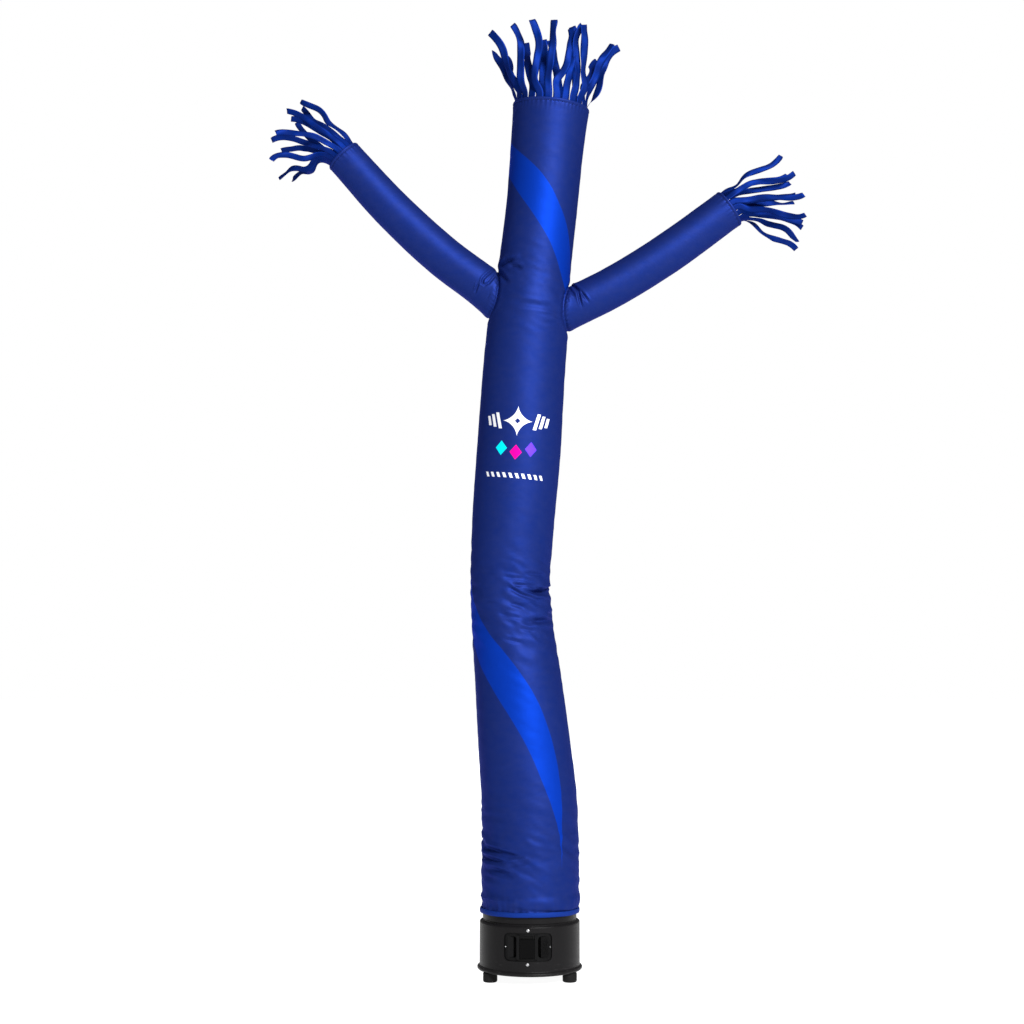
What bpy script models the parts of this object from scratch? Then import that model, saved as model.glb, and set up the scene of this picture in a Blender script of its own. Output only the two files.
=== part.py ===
"""Inflatable air dancer: a cloth tube with two sleeves and three fringes, held by a band on a round base blower.

Metres, +Z up, front at -Y. The blower stands on z = 0 and the model is centred on its bounding box.
"""
import math
from collections import namedtuple

import bmesh
import bpy
from mathutils import Matrix, Quaternion, Vector

CLOTH = 0.0022          # wall of the cloth
STRIP = 0.0014          # thickness of a streamer and of its header band
GAP = 0.0004            # between pieces that touch
MM = 0.001

# ---- body tube --------------------------------------------------------------
TUBE_SIDES = 28
Section = namedtuple("Section", "height x y radius")
BODY = (
    Section(0.197, 0.000, 0.000, 0.1463),    # inside the band
    Section(0.213, 0.000, 0.000, 0.1463),
    Section(0.243, 0.002, 0.000, 0.1512),    # roll above the band
    Section(0.262, 0.002, 0.000, 0.1480),
    Section(0.300, 0.002, 0.001, 0.1490),
    Section(0.500, 0.000, 0.004, 0.1475),
    Section(0.700, -0.016, 0.009, 0.1412),
    Section(0.900, -0.035, 0.014, 0.1325),
    Section(1.080, -0.053, 0.017, 0.1250),
    Section(1.190, -0.059, 0.018, 0.1228),   # waist
    Section(1.370, -0.051, 0.016, 0.1270),
    Section(1.600, -0.033, 0.010, 0.1305),
    Section(1.850, -0.017, 0.003, 0.1282),
    Section(2.000, -0.004, -0.002, 0.1255),
    Section(2.190, 0.018, -0.007, 0.1130),   # above the sleeves
    Section(2.370, 0.039, -0.012, 0.1112),
    Section(2.560, 0.056, -0.018, 0.1145),
    Section(2.687, 0.069, -0.022, 0.1195),   # head
)
Span = namedtuple("Span", "start end rings")
RING_SPANS = (
    Span(0.197, 0.262, 6),
    Span(0.262, 0.364, 6),
    Span(0.364, 1.030, 7),
    Span(1.030, 1.250, 8),
    Span(1.250, 1.960, 6),
    Span(1.960, 2.250, 4),
    Span(2.250, 2.687, 5),
)
# Angles run anticlockwise seen from above: 0 is the right side, 270 the front.
Fold = namedtuple("Fold", "height angle reach span depth rise")
BODY_FOLDS = (
    Fold(1.166, 322, 0.016, 56, 0.009, -0.010),
    Fold(1.092, 325, 0.017, 48, 0.005, 0.012),
    Fold(1.150, 30, 0.017, 50, 0.007, 0.010),
    Fold(0.341, 238, 0.011, 48, 0.006, -0.014),
    Fold(0.308, 252, 0.010, 40, 0.005, -0.010),
    Fold(0.330, 95, 0.012, 50, 0.005, 0.012),
    Fold(2.225, 205, 0.030, 34, 0.005, 0.030),
    Fold(1.975, 330, 0.026, 36, 0.005, 0.030),
)

# ---- sleeves ----------------------------------------------------------------
SLEEVE_SIDES = 18
SLEEVE_RINGS = 10
Station = namedtuple("Station", "x y z radius")
LEFT_SLEEVE = (
    Station(-0.060, 0.000, 2.048, 0.0665),
    Station(-0.139, 0.002, 2.119, 0.0655),
    Station(-0.270, 0.008, 2.220, 0.0645),
    Station(-0.425, 0.014, 2.366, 0.0625),
    Station(-0.586, 0.018, 2.544, 0.0580),
)
RIGHT_SLEEVE = (
    Station(0.060, -0.002, 2.022, 0.0650),
    Station(0.164, -0.004, 2.071, 0.0640),
    Station(0.256, -0.007, 2.117, 0.0635),
    Station(0.415, -0.012, 2.214, 0.0630),
    Station(0.6260, -0.018, 2.3665, 0.0615),
)

# ---- fringes ----------------------------------------------------------------
# A strip grows from one place on its header band. The leans are its headings
# sideways, in degrees from the opening's axis, at the shares named below; back
# is its heading away from the front at the tip, turn its twist.
Streamer = namedtuple("Streamer", "place lean1 lean2 lean3 lean4 lean5 back turn")
LEAN_SHARES = (0.0, 0.04, 0.16, 0.36, 0.58, 0.80, 1.0)
HEAD_PLACES = 26
HEAD_TURN = -6           # degrees that the head's places are turned
HEAD_LENGTH = 0.256
HEAD_STRIP = 0.0220      # width of a streamer at the head
HEAD_STREAMERS = (
    Streamer(0, 34, 12, 6, 26, 58, 10, 135),
    Streamer(3, -18, -2, -2, -8, -10, 20, 45),
    Streamer(5, -16, -14, -16, -18, -20, -19, 40),
    Streamer(8, 10, -4, -2, -2, -18, -1, -40),
    Streamer(10, -24, -30, -26, -24, -18, 35, -60),
    Streamer(13, -32, -20, -26, -32, -18, 37, 135),
    Streamer(14, -12, -30, -6, -24, -62, 47, -135),
    Streamer(15, -26, -38, -14, -36, -56, 7, 55),
    Streamer(16, -30, -4, -4, -20, -46, 5, 80),
    Streamer(17, -10, -16, -10, -10, -12, 40, 30),
    Streamer(18, -34, 4, 4, -22, -34, -4, 30),
    Streamer(19, -10, 2, 4, -4, -2, 2, -20),
    Streamer(20, -12, 34, 2, 6, -28, 11, -15),
    Streamer(21, 2, 6, 0, -2, -20, 12, -30),
    Streamer(22, 8, 0, -14, 0, 40, 1, -5),
    Streamer(23, 22, -14, -4, -4, -8, -10, -30),
    Streamer(24, -12, 24, 4, 14, 42, 47, -45),
    Streamer(25, 2, 20, 10, 26, 30, 17, -110),
)
HAND_PLACES = 17
HAND_LENGTH = 0.240
HAND_STRIP = 0.0170      # width of a streamer at a hand
LEFT_STREAMERS = (
    Streamer(2, -12, -16, -14, -20, -50, 2, 30),
    Streamer(4, -18, -14, -4, 4, 14, 20, 5),
    Streamer(6, 4, -24, -28, -46, -52, 29, -125),
    Streamer(8, -22, -112, 0, -76, -36, 52, 135),
    Streamer(9, -14, -108, -26, -68, -84, 31, 110),
    Streamer(10, -32, -78, -40, -66, -122, -36, 60),
    Streamer(11, -22, -28, -26, -38, -82, 13, 0),
    Streamer(12, -18, -24, -54, -54, -68, -34, 30),
    Streamer(13, -4, -16, -8, -20, -36, 7, -40),
    Streamer(14, -10, -8, -16, 6, 4, 25, -55),
    Streamer(15, 2, -14, 14, -24, -14, 9, -110),
)
RIGHT_STREAMERS = (
    Streamer(0, 54, 82, 44, 48, 84, 28, 130),
    Streamer(4, 22, 30, 24, 34, 30, 17, -50),
    Streamer(5, 36, 26, 32, 34, 16, -10, -60),
    Streamer(6, 16, 22, 28, 26, 6, 3, -60),
    Streamer(7, 24, 4, 28, 32, -12, 0, -70),
    Streamer(9, 10, -10, 18, 6, -22, 2, 90),
    Streamer(11, 2, 8, 40, 22, -6, -5, 65),
    Streamer(12, 36, 26, 42, 38, 8, -10, 5),
    Streamer(13, 58, 36, 60, 52, 10, -17, 20),
    Streamer(14, 46, 28, 48, 46, 44, 26, -30),
    Streamer(15, 30, 38, 38, 54, 68, 26, -50),
    Streamer(16, 42, 62, 58, 94, 96, -34, -135),
)
HEADER_DEPTH = 0.026     # height of the header band inside the hem
HEADER_DROP = 0.010      # from the rim down to the header's top edge
HEADER_INSET = 0.0042    # from the cloth's inner face to the header's middle
STREAMER_STATIONS = (0.0, 0.05, 0.18, 0.32, 0.46, 0.60, 0.74, 0.87, 1.0)

# ---- base band --------------------------------------------------------------
BAND_LOW, BAND_HIGH = 0.1945, 0.2110
BAND_INNER, BAND_OUTER = 0.1474, 0.1512
BAND_EDGE = 0.0012

# ---- blower -----------------------------------------------------------------
DRUM_SIDES = 56
DRUM_RADIUS = 0.1520
LIP_RADIUS = 0.1595
NECK_RADIUS = 0.1425
WALL = 0.0040
LIP_LOW, LIP_HIGH = 0.0280, 0.0405
SHOULDER = 0.1740
SHOULDER_ROUND = 0.0055
NECK_TOP = 0.2440
FACE_TURN = -2.7         # degrees that the panel stands round from the front
WINDOW = (0.142, 0.083, 0.015)   # width, height, corner radius
WINDOW_HEIGHT = 0.1135
PLATE_THICKNESS = 0.0060
PLATE_MARGIN = 0.008
POCKET = (0.032, 0.064, 0.010)
POCKET_PLACES = (-0.0500, 0.0460)
POCKET_DEPTH = 0.0040
SLOT = (0.034, 0.0085, 0.002)
SLOT_PLACE = (-0.0020, 0.0295)
RIB = (0.0085, 0.070)
RIB_PLACES = (-0.0295, 0.0250)
RIB_PROUD = 0.0030
BLOCK = (0.0440, 0.0560, 0.0052)
BLOCK_PLACE = (-0.0020, -0.0040)
BLOCK_EDGE = 0.0022
GUARD_LOW, GUARD_HIGH = 0.0292, 0.0332
GUARD_HUB, GUARD_RIM = 0.034, 0.108
GUARD_SPOKES = 8
GUARD_SPOKE = 0.012
FOOT_PLACE = (0.119, 0.070)
FOOT_RADIUS = 0.0215
FOOT_EDGE = 0.0030

Screw = namedtuple("Screw", "name side height radius dome")
SCREWS = (
    Screw("housing_screw_top", 0.0005, 0.1630, 0.0052, 0.0028),
    Screw("housing_screw_bottom", -0.0010, 0.0640, 0.0052, 0.0028),
    Screw("plate_screw_left", -0.0670, 0.1135, 0.0026, 0.0014),
    Screw("plate_screw_right", 0.0655, 0.1135, 0.0026, 0.0014),
)

# ---- finishes: colour, roughness, metallic ----------------------------------
NAVY_CLOTH = ("navy_cloth", (0.018, 0.034, 0.22), 0.45, 0.0)
BLUE_CLOTH = ("blue_cloth", (0.012, 0.030, 0.30), 0.42, 0.0)
BAND_CLOTH = ("band_cloth", (0.016, 0.055, 0.58), 0.40, 0.0)
CHARCOAL = ("charcoal_coat", (0.028, 0.028, 0.030), 0.42, 0.0)
DARK_PLATE = ("dark_plate", (0.018, 0.018, 0.019), 0.50, 0.0)
RUBBER = ("black_rubber", (0.012, 0.012, 0.013), 0.70, 0.0)
STEEL = ("bright_steel", (0.72, 0.72, 0.74), 0.25, 1.0)

FRONT = math.radians(270 + FACE_TURN)


# ---- helpers ----------------------------------------------------------------
def material(finish):
    name, colour, roughness, metallic = finish
    made = bpy.data.materials.get(name) or bpy.data.materials.new(name)
    made.use_nodes = True
    shader = made.node_tree.nodes["Principled BSDF"]
    shader.inputs["Base Color"].default_value = (*colour, 1.0)
    shader.inputs["Roughness"].default_value = roughness
    shader.inputs["Metallic"].default_value = metallic
    made.diffuse_color = (*colour, 1.0)
    return made


def add_object(name, points, faces, finish=None, smooth=40):
    mesh = bpy.data.meshes.new(name)
    mesh.from_pydata([tuple(p) for p in points], [], faces)
    work = bmesh.new()
    work.from_mesh(mesh)
    bmesh.ops.recalc_face_normals(work, faces=work.faces)
    work.to_mesh(mesh)
    work.free()
    mesh.shade_smooth()
    mesh.set_sharp_from_angle(angle=math.radians(smooth))
    made = bpy.data.objects.new(name, mesh)
    bpy.context.scene.collection.objects.link(made)
    if finish:
        mesh.materials.append(material(finish))
    return made


def slopes(xs, ys):
    """Slopes of a smooth curve through points that never overshoots them."""
    steps = [(b - a) / (q - p) for a, b, p, q in zip(ys, ys[1:], xs, xs[1:])]
    inner = [2 * a * b / (a + b) if a * b > 0 else 0.0 for a, b in zip(steps, steps[1:])]
    return [steps[0], *inner, steps[-1]]


def curve_at(xs, ys, x):
    tangents = slopes(xs, ys)
    i = max(k for k in range(len(xs) - 1) if k == 0 or xs[k] <= x)
    width = xs[i + 1] - xs[i]
    t = (x - xs[i]) / width
    return (
        (1 + 2 * t) * (1 - t) ** 2 * ys[i]
        + t * (1 - t) ** 2 * width * tangents[i]
        + t * t * (3 - 2 * t) * ys[i + 1]
        + t * t * (t - 1) * width * tangents[i + 1]
    )


def column(rows, name):
    return [getattr(row, name) for row in rows]


def ring(centre, side, depth, radius_at, sides):
    """Points round a centre; radius_at gives the radius for an angle."""
    points = []
    for k in range(sides):
        angle = 2 * math.pi * k / sides
        radius = radius_at(angle)
        points.append(centre + side * (radius * math.cos(angle)) + depth * (radius * math.sin(angle)))
    return points


def skin_between(rings, sides):
    """Quads that join rings numbered in order of their points."""
    return [
        (a * sides + k, a * sides + (k + 1) % sides, b * sides + (k + 1) % sides, b * sides + k)
        for a, b in rings
        for k in range(sides)
    ]


def hollow_tube(name, outer, inner, finish):
    """A wall between outer and inner rings, closed at both ends."""
    sides, count = len(outer[0]), len(outer)
    order = outer + inner[::-1]
    pairs = [(k, (k + 1) % (2 * count)) for k in range(2 * count)]
    return add_object(name, [p for r in order for p in r], skin_between(pairs, sides), finish)


def solid_tube(name, rings):
    sides, count = len(rings[0]), len(rings)
    faces = skin_between([(k, k + 1) for k in range(count - 1)], sides)
    faces.append(tuple(range(sides)))
    faces.append(tuple(range((count - 1) * sides, count * sides)))
    return add_object(name, [p for r in rings for p in r], faces)


def turned(name, profile, sides, finish, smooth=40):
    """A closed outline of (radius, height) turned round the Z axis."""
    count = len(profile)
    points, faces = [], []
    for k in range(sides):
        angle = 2 * math.pi * k / sides
        points += [(r * math.cos(angle), r * math.sin(angle), z) for r, z in profile]
        here, after = k * count, ((k + 1) % sides) * count
        faces += [(here + j, here + (j + 1) % count, after + (j + 1) % count, after + j) for j in range(count)]
    return add_object(name, points, faces, finish, smooth)


def stack(name, profile, sides, finish, smooth=40):
    """A solid turned from (radius, height) rows, with flat ends."""
    rings = [ring(Vector((0, 0, z)), Vector((1, 0, 0)), Vector((0, 1, 0)), lambda _, r=r: r, sides) for r, z in profile]
    made = solid_tube(name, rings)
    made.data.materials.append(material(finish))
    made.data.set_sharp_from_angle(angle=math.radians(smooth))
    return made


def apply_boolean(piece, cutter, operation="DIFFERENCE"):
    """Cuts a piece, or joins two, and keeps the result in the mesh."""
    cut = piece.modifiers.new("cut", "BOOLEAN")
    cut.operation, cut.solver, cut.object = operation, "EXACT", cutter
    graph = bpy.context.evaluated_depsgraph_get()
    result = bpy.data.meshes.new_from_object(piece.evaluated_get(graph))
    piece.modifiers.clear()
    old, piece.data = piece.data, result
    bpy.data.meshes.remove(old)
    bpy.data.objects.remove(cutter)


# ---- cloth tube and sleeves -------------------------------------------------
def body_at(height):
    heights = column(BODY, "height")
    x, y, radius = (curve_at(heights, column(BODY, c), height) for c in ("x", "y", "radius"))
    return Vector((x, y, height)), radius


def body_frame(height):
    """Centre, radius and the two directions of the section at a height."""
    centre, radius = body_at(height)
    low, high = max(height - 0.004, BODY[0].height), min(height + 0.004, BODY[-1].height)
    axis = (body_at(high)[0] - body_at(low)[0]).normalized()
    side = Vector((axis.z, 0, -axis.x)).normalized()
    return centre, radius, side, axis.cross(side), axis


def fold_depth(folds, height, angle):
    """How far the folds draw the cloth in at a place."""
    total = 0.0
    for fold in folds:
        around = (math.degrees(angle) - fold.angle + 180) % 360 - 180
        if abs(around) < fold.span:
            along = (height - fold.height - fold.rise * around / 90) / fold.reach
            total += fold.depth * math.exp(-along * along) * math.cos(math.pi / 2 * around / fold.span) ** 2
    return total


def ring_heights():
    heights = [RING_SPANS[0].start]
    for span in RING_SPANS:
        step = (span.end - span.start) / span.rings
        heights += [span.start + step * (k + 1) for k in range(span.rings)]
    return heights


def body_rings(shrink):
    rings = []
    for height in ring_heights():
        centre, radius, side, depth, _ = body_frame(height)
        rings.append(ring(
            centre, side, depth,
            lambda angle, r=radius, h=height: r - shrink - fold_depth(BODY_FOLDS, h, angle),
            TUBE_SIDES,
        ))
    return rings


def sleeve_frame(stations, share):
    """Centre, radius and directions at a share of a sleeve's length."""
    lengths = [0.0]
    for a, b in zip(stations, stations[1:]):
        lengths.append(lengths[-1] + math.dist(a[:3], b[:3]))

    def at(distance):
        return Vector([curve_at(lengths, column(stations, c), distance) for c in "xyz"])

    distance = share * lengths[-1]
    low, high = max(distance - 0.004, 0.0), min(distance + 0.004, lengths[-1])
    axis = (at(high) - at(low)).normalized()
    side = Vector((axis.z, 0, -axis.x)).normalized()
    radius = curve_at(lengths, column(stations, "radius"), distance)
    return at(distance), radius, side, axis.cross(side), axis


def sleeve_rings(stations, shrink):
    rings = []
    for k in range(SLEEVE_RINGS):
        centre, radius, side, depth, _ = sleeve_frame(stations, k / (SLEEVE_RINGS - 1))
        rings.append(ring(centre, side, depth, lambda _, r=radius: r - shrink, SLEEVE_SIDES))
    return rings


def build_cloth():
    body = hollow_tube("body_tube", body_rings(0.0), body_rings(CLOTH), NAVY_CLOTH)
    for name, stations in (("arm_left", LEFT_SLEEVE), ("arm_right", RIGHT_SLEEVE)):
        sleeve = hollow_tube(name, sleeve_rings(stations, 0.0), sleeve_rings(stations, CLOTH), NAVY_CLOTH)
        apply_boolean(body, solid_tube("armhole", sleeve_rings(stations, -GAP)))
        apply_boolean(sleeve, solid_tube("inside", body_rings(CLOTH)))


# ---- fringes ----------------------------------------------------------------
def heading(strip, share):
    """Sideways and backward headings of a strip at a share of its length."""
    leans = (0.0, 0.0, strip.lean1, strip.lean2, strip.lean3, strip.lean4, strip.lean5)
    ease = min(1.0, max(0.0, (share - 0.05) / 0.5))
    return math.radians(curve_at(LEAN_SHARES, leans, share)), math.radians(strip.back * ease * ease * (3 - 2 * ease))


def strip_sections(strip, length, root, rim, width_way):
    """Places and width directions along a strip that starts at root."""
    side, depth, axis = rim[2:]
    steps = 80
    place, way, width = root.copy(), axis.copy(), width_way.copy()
    stations = {round(share * steps): None for share in STREAMER_STATIONS}
    for k in range(steps + 1):
        share = k / steps
        lean, back = heading(strip, share)
        new_way = (axis * math.cos(lean) + side * math.sin(lean)) * math.cos(back) + depth * math.sin(back)
        width = way.rotation_difference(new_way) @ width
        way = new_way
        if k in stations:
            twist = Quaternion(way, math.radians(strip.turn) * max(0.0, share - 0.05))
            stations[k] = (place.copy(), twist @ width, way.copy())
        place += way * (length / steps)
    return [stations[k] for k in sorted(stations)]


def comb(name, rim, sides, strips, length, strip_width, turn=0.0):
    """A header band round the inside of a rim, with a strip on each named place."""
    centre, radius, side, depth, axis = rim
    side, depth = Quaternion(axis, math.radians(turn)) @ side, Quaternion(axis, math.radians(turn)) @ depth
    middle = radius - CLOTH - HEADER_INSET
    top = centre - axis * HEADER_DROP
    rings = [
        ring(top - axis * drop, side, depth, lambda _, r=r: r, sides)
        for r, drop in ((middle + STRIP / 2, HEADER_DEPTH), (middle + STRIP / 2, 0.0),
                        (middle - STRIP / 2, 0.0), (middle - STRIP / 2, HEADER_DEPTH))
    ]
    points = [p for r in rings for p in r]
    faces = skin_between([(0, 1), (2, 3), (3, 0)], sides)
    placed = {strip.place: strip for strip in strips}
    for k in range(sides):
        after = (k + 1) % sides
        corners = (sides + k, sides + after, 2 * sides + after, 2 * sides + k)
        strip = placed.get(k)
        if strip is None:
            faces.append(corners)
            continue
        angle = 2 * math.pi * (k + 0.5) / sides
        out = side * math.cos(angle) + depth * math.sin(angle)
        along = depth * math.cos(angle) - side * math.sin(angle)
        root = top + out * middle * math.cos(math.pi / sides)
        for place, width, way in strip_sections(strip, length, root, rim, along)[1:]:
            face_out = width.cross(way).normalized() * (STRIP / 2)
            half = width * (strip_width / 2)
            first = len(points)
            points += [place - half + face_out, place + half + face_out, place + half - face_out, place - half - face_out]
            a, b, c, d = corners
            corners = e, f, g, h = first, first + 1, first + 2, first + 3
            # both faces of the ribbon are split along the same diagonal, so that they stay parallel as it twists
            faces += [(a, b, f), (a, f, e), (b, c, g, f), (c, d, g), (d, h, g), (d, a, e, h)]
        faces.append(corners)
    return add_object(name, points, faces, BLUE_CLOTH)


def build_fringes():
    head, left, right = body_frame(BODY[-1].height), sleeve_frame(LEFT_SLEEVE, 1.0), sleeve_frame(RIGHT_SLEEVE, 1.0)
    comb("head_fringe", head, HEAD_PLACES, HEAD_STREAMERS, HEAD_LENGTH, HEAD_STRIP, HEAD_TURN)
    comb("hand_fringe_left", left, HAND_PLACES, LEFT_STREAMERS, HAND_LENGTH, HAND_STRIP)
    comb("hand_fringe_right", right, HAND_PLACES, RIGHT_STREAMERS, HAND_LENGTH, HAND_STRIP)


def build_band():
    low, high, inner, outer, edge = BAND_LOW, BAND_HIGH, BAND_INNER, BAND_OUTER, BAND_EDGE
    turned("base_band", (
        (inner, low), (outer - edge, low), (outer, low + edge),
        (outer, high - edge), (outer - edge, high), (inner, high),
    ), TUBE_SIDES, BAND_CLOTH)


# ---- blower -----------------------------------------------------------------
def arc(centre, radius, start, end, steps):
    """Points of an arc in the (radius, height) plane, angles in degrees."""
    return [
        (centre[0] + radius * math.cos(math.radians(start + (end - start) * k / steps)),
         centre[1] + radius * math.sin(math.radians(start + (end - start) * k / steps)))
        for k in range(steps + 1)
    ]


def rounded_rectangle(width, height, corner, steps=4):
    points = []
    for across, up, start in ((1, 1, 0), (-1, 1, 90), (-1, -1, 180), (1, -1, 270)):
        middle = (across * (width / 2 - corner), up * (height / 2 - corner))
        points += arc(middle, corner, start, start + 90, steps)
    return points


def wall_prism(name, outline, offset, near, far, height=WINDOW_HEIGHT):
    """An outline on the blower's face, run outwards from one radius to another."""
    out = Vector((math.cos(FRONT), math.sin(FRONT), 0))
    right = Vector((-out.y, out.x, 0))
    up = Vector((0, 0, 1))
    rings = []
    for distance in (near, far):
        start = out * distance + right * offset[0] + up * (height + offset[1])
        rings.append([start + right * a + up * b for a, b in outline])
    return solid_tube(name, rings)


def plate_sector(name, inner, outer, half_width, low, high, steps=12):
    """A curved slab concentric with the drum."""
    half = math.asin(half_width / outer)
    rings = []
    for k in range(steps + 1):
        angle = FRONT - half + 2 * half * k / steps
        rings.append([
            Vector((r * math.cos(angle), r * math.sin(angle), z))
            for r, z in ((inner, low), (outer, low), (outer, high), (inner, high))
        ])
    return solid_tube(name, rings)


def build_housing():
    lip = (LIP_HIGH - LIP_LOW) / 2
    inside = DRUM_RADIUS - WALL
    neck_inside = NECK_RADIUS - WALL
    profile = [(inside, LIP_LOW)]
    profile += arc((LIP_RADIUS - lip, LIP_LOW + lip), lip, -90, 90, 6)
    profile += [(DRUM_RADIUS + 0.0012, LIP_HIGH), (DRUM_RADIUS, LIP_HIGH + 0.0020)]
    profile += arc((DRUM_RADIUS - SHOULDER_ROUND, SHOULDER - SHOULDER_ROUND), SHOULDER_ROUND, 0, 90, 5)
    groove = NECK_RADIUS - 0.0020
    profile += [(groove + 0.0015, SHOULDER - 0.0010), (groove, SHOULDER + 0.0012), (groove, SHOULDER + 0.0040)]
    profile += [(NECK_RADIUS, SHOULDER + 0.0060), (NECK_RADIUS, NECK_TOP - 0.002), (NECK_RADIUS - 0.002, NECK_TOP)]
    profile += [(neck_inside, NECK_TOP), (neck_inside, SHOULDER - 0.0045), (inside, SHOULDER - 0.0075)]
    housing = turned("blower_housing", profile, DRUM_SIDES, CHARCOAL, 30)
    apply_boolean(housing, wall_prism("window", rounded_rectangle(*WINDOW), (0, 0), 0.100, 0.180))
    return housing


def build_panel():
    outer = DRUM_RADIUS - WALL - GAP - DRUM_RADIUS * (1 - math.cos(math.pi / DRUM_SIDES))
    low = WINDOW_HEIGHT - WINDOW[1] / 2 - PLATE_MARGIN
    high = WINDOW_HEIGHT + WINDOW[1] / 2 + PLATE_MARGIN
    panel = plate_sector("side_panel", outer - PLATE_THICKNESS, outer, WINDOW[0] / 2 + PLATE_MARGIN, low, high)
    panel.data.materials.append(material(DARK_PLATE))
    for place in RIB_PLACES:
        half_width, half_height = RIB[0] / 2, RIB[1] / 2
        outline = [(half_width, half_height), (-half_width, half_height), (-half_width, -half_height), (half_width, -half_height)]
        apply_boolean(panel, wall_prism("rib", outline, (place, 0), outer - 0.008, outer + RIB_PROUD), "UNION")
    for place in POCKET_PLACES:
        out_there = math.sqrt(outer ** 2 - place ** 2)
        apply_boolean(panel, wall_prism("pocket", rounded_rectangle(*POCKET), (place, 0), out_there - POCKET_DEPTH, outer + 0.01))
    apply_boolean(panel, wall_prism("slot", rounded_rectangle(*SLOT, 2), SLOT_PLACE, outer - POCKET_DEPTH, outer + 0.01))
    return outer


def build_block(face):
    width, height, thickness = BLOCK
    start = face + GAP
    outline = rounded_rectangle(width, height, BLOCK_EDGE, 2)
    inset = rounded_rectangle(width - 0.002, height - 0.002, BLOCK_EDGE, 2)
    out = Vector((math.cos(FRONT), math.sin(FRONT), 0))
    right = Vector((-out.y, out.x, 0))
    rings = []
    for shape, distance in ((outline, start), (outline, start + thickness - 0.001), (inset, start + thickness)):
        middle = out * distance + right * BLOCK_PLACE[0] + Vector((0, 0, WINDOW_HEIGHT + BLOCK_PLACE[1]))
        rings.append([middle + right * a + Vector((0, 0, b)) for a, b in shape])
    block = solid_tube("panel_block", rings)
    block.data.materials.append(material(DARK_PLATE))


def build_screws(plate_face):
    for screw in SCREWS:
        on_wall = screw.name.startswith("housing")
        surface = DRUM_RADIUS if on_wall else plate_face
        angle = FRONT + math.asin(screw.side / surface)
        rise = screw.dome
        profile = [(screw.radius, 0.0), (screw.radius, rise * 0.35), (screw.radius * 0.82, rise * 0.78), (screw.radius * 0.45, rise)]
        head = stack(screw.name, profile, 16, STEEL)
        out = Vector((math.cos(angle), math.sin(angle), 0))
        head.rotation_mode = "QUATERNION"
        head.rotation_quaternion = out.to_track_quat("Z", "Y")
        head.location = out * (surface + GAP) + Vector((0, 0, screw.height))


def build_guard():
    rim = DRUM_RADIUS - WALL - GAP - 0.0002
    guard = turned("intake_guard", (
        (GUARD_RIM, GUARD_LOW), (rim, GUARD_LOW), (rim, GUARD_HIGH), (GUARD_RIM, GUARD_HIGH),
    ), DRUM_SIDES, DARK_PLATE)
    hub = stack("hub", ((GUARD_HUB, GUARD_LOW), (GUARD_HUB, GUARD_HIGH)), DRUM_SIDES // 2, DARK_PLATE)
    middle = (GUARD_LOW + GUARD_HIGH) / 2
    for k in range(GUARD_SPOKES // 2):
        reach, half = (GUARD_RIM + rim) / 2, GUARD_SPOKE / 2
        low, high = middle - 0.0016, middle + 0.0016
        corners = [(x, y, z) for z in (low, high) for x, y in ((-reach, -half), (reach, -half), (reach, half), (-reach, half))]
        faces = [(0, 3, 2, 1), (4, 5, 6, 7), (0, 1, 5, 4), (1, 2, 6, 5), (2, 3, 7, 6), (3, 0, 4, 7)]
        spoke = add_object("spoke", corners, faces)
        spoke.data.transform(Matrix.Rotation(2 * math.pi * (k + 0.5) / GUARD_SPOKES, 4, "Z"))
        apply_boolean(guard, spoke, "UNION")
    apply_boolean(guard, hub, "UNION")


def build_feet():
    top = LIP_LOW - GAP
    profile = [
        (FOOT_RADIUS - FOOT_EDGE, 0.0), (FOOT_RADIUS - 0.0006, FOOT_EDGE * 0.7),
        (FOOT_RADIUS, FOOT_EDGE * 1.6), (FOOT_RADIUS, top - 0.0015), (FOOT_RADIUS - 0.0012, top),
    ]
    corners = ((-1, -1), (1, -1), (1, 1), (-1, 1))
    for number, (across, back) in enumerate(corners, 1):
        foot = stack(f"foot_{number}", profile, 20, RUBBER)
        foot.location = (across * FOOT_PLACE[0], back * FOOT_PLACE[1], 0)


def centre_on_origin():
    """Hangs every piece from an empty that brings the box's bottom middle to the origin."""
    pieces = list(bpy.context.scene.objects)
    bpy.context.view_layer.update()
    corners = [piece.matrix_world @ Vector(corner) for piece in pieces for corner in piece.bound_box]
    anchor = bpy.data.objects.new("air_dancer", None)
    bpy.context.scene.collection.objects.link(anchor)
    for axis in (0, 1):
        places = [corner[axis] for corner in corners]
        anchor.location[axis] = -(min(places) + max(places)) / 2
    for piece in pieces:
        piece.parent = anchor


def main():
    for old in list(bpy.data.objects):
        bpy.data.objects.remove(old)
    build_cloth()
    build_fringes()
    build_band()
    build_housing()
    plate_face = build_panel()
    build_block(plate_face)
    build_screws(plate_face)
    build_guard()
    build_feet()
    centre_on_origin()


main()
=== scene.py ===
# Air dancer: an inflated nylon tube with two sleeves and three streamer fringes, strapped to a base blower.
import math
import bpy
import numpy as np
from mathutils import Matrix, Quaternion, Vector, noise


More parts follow.
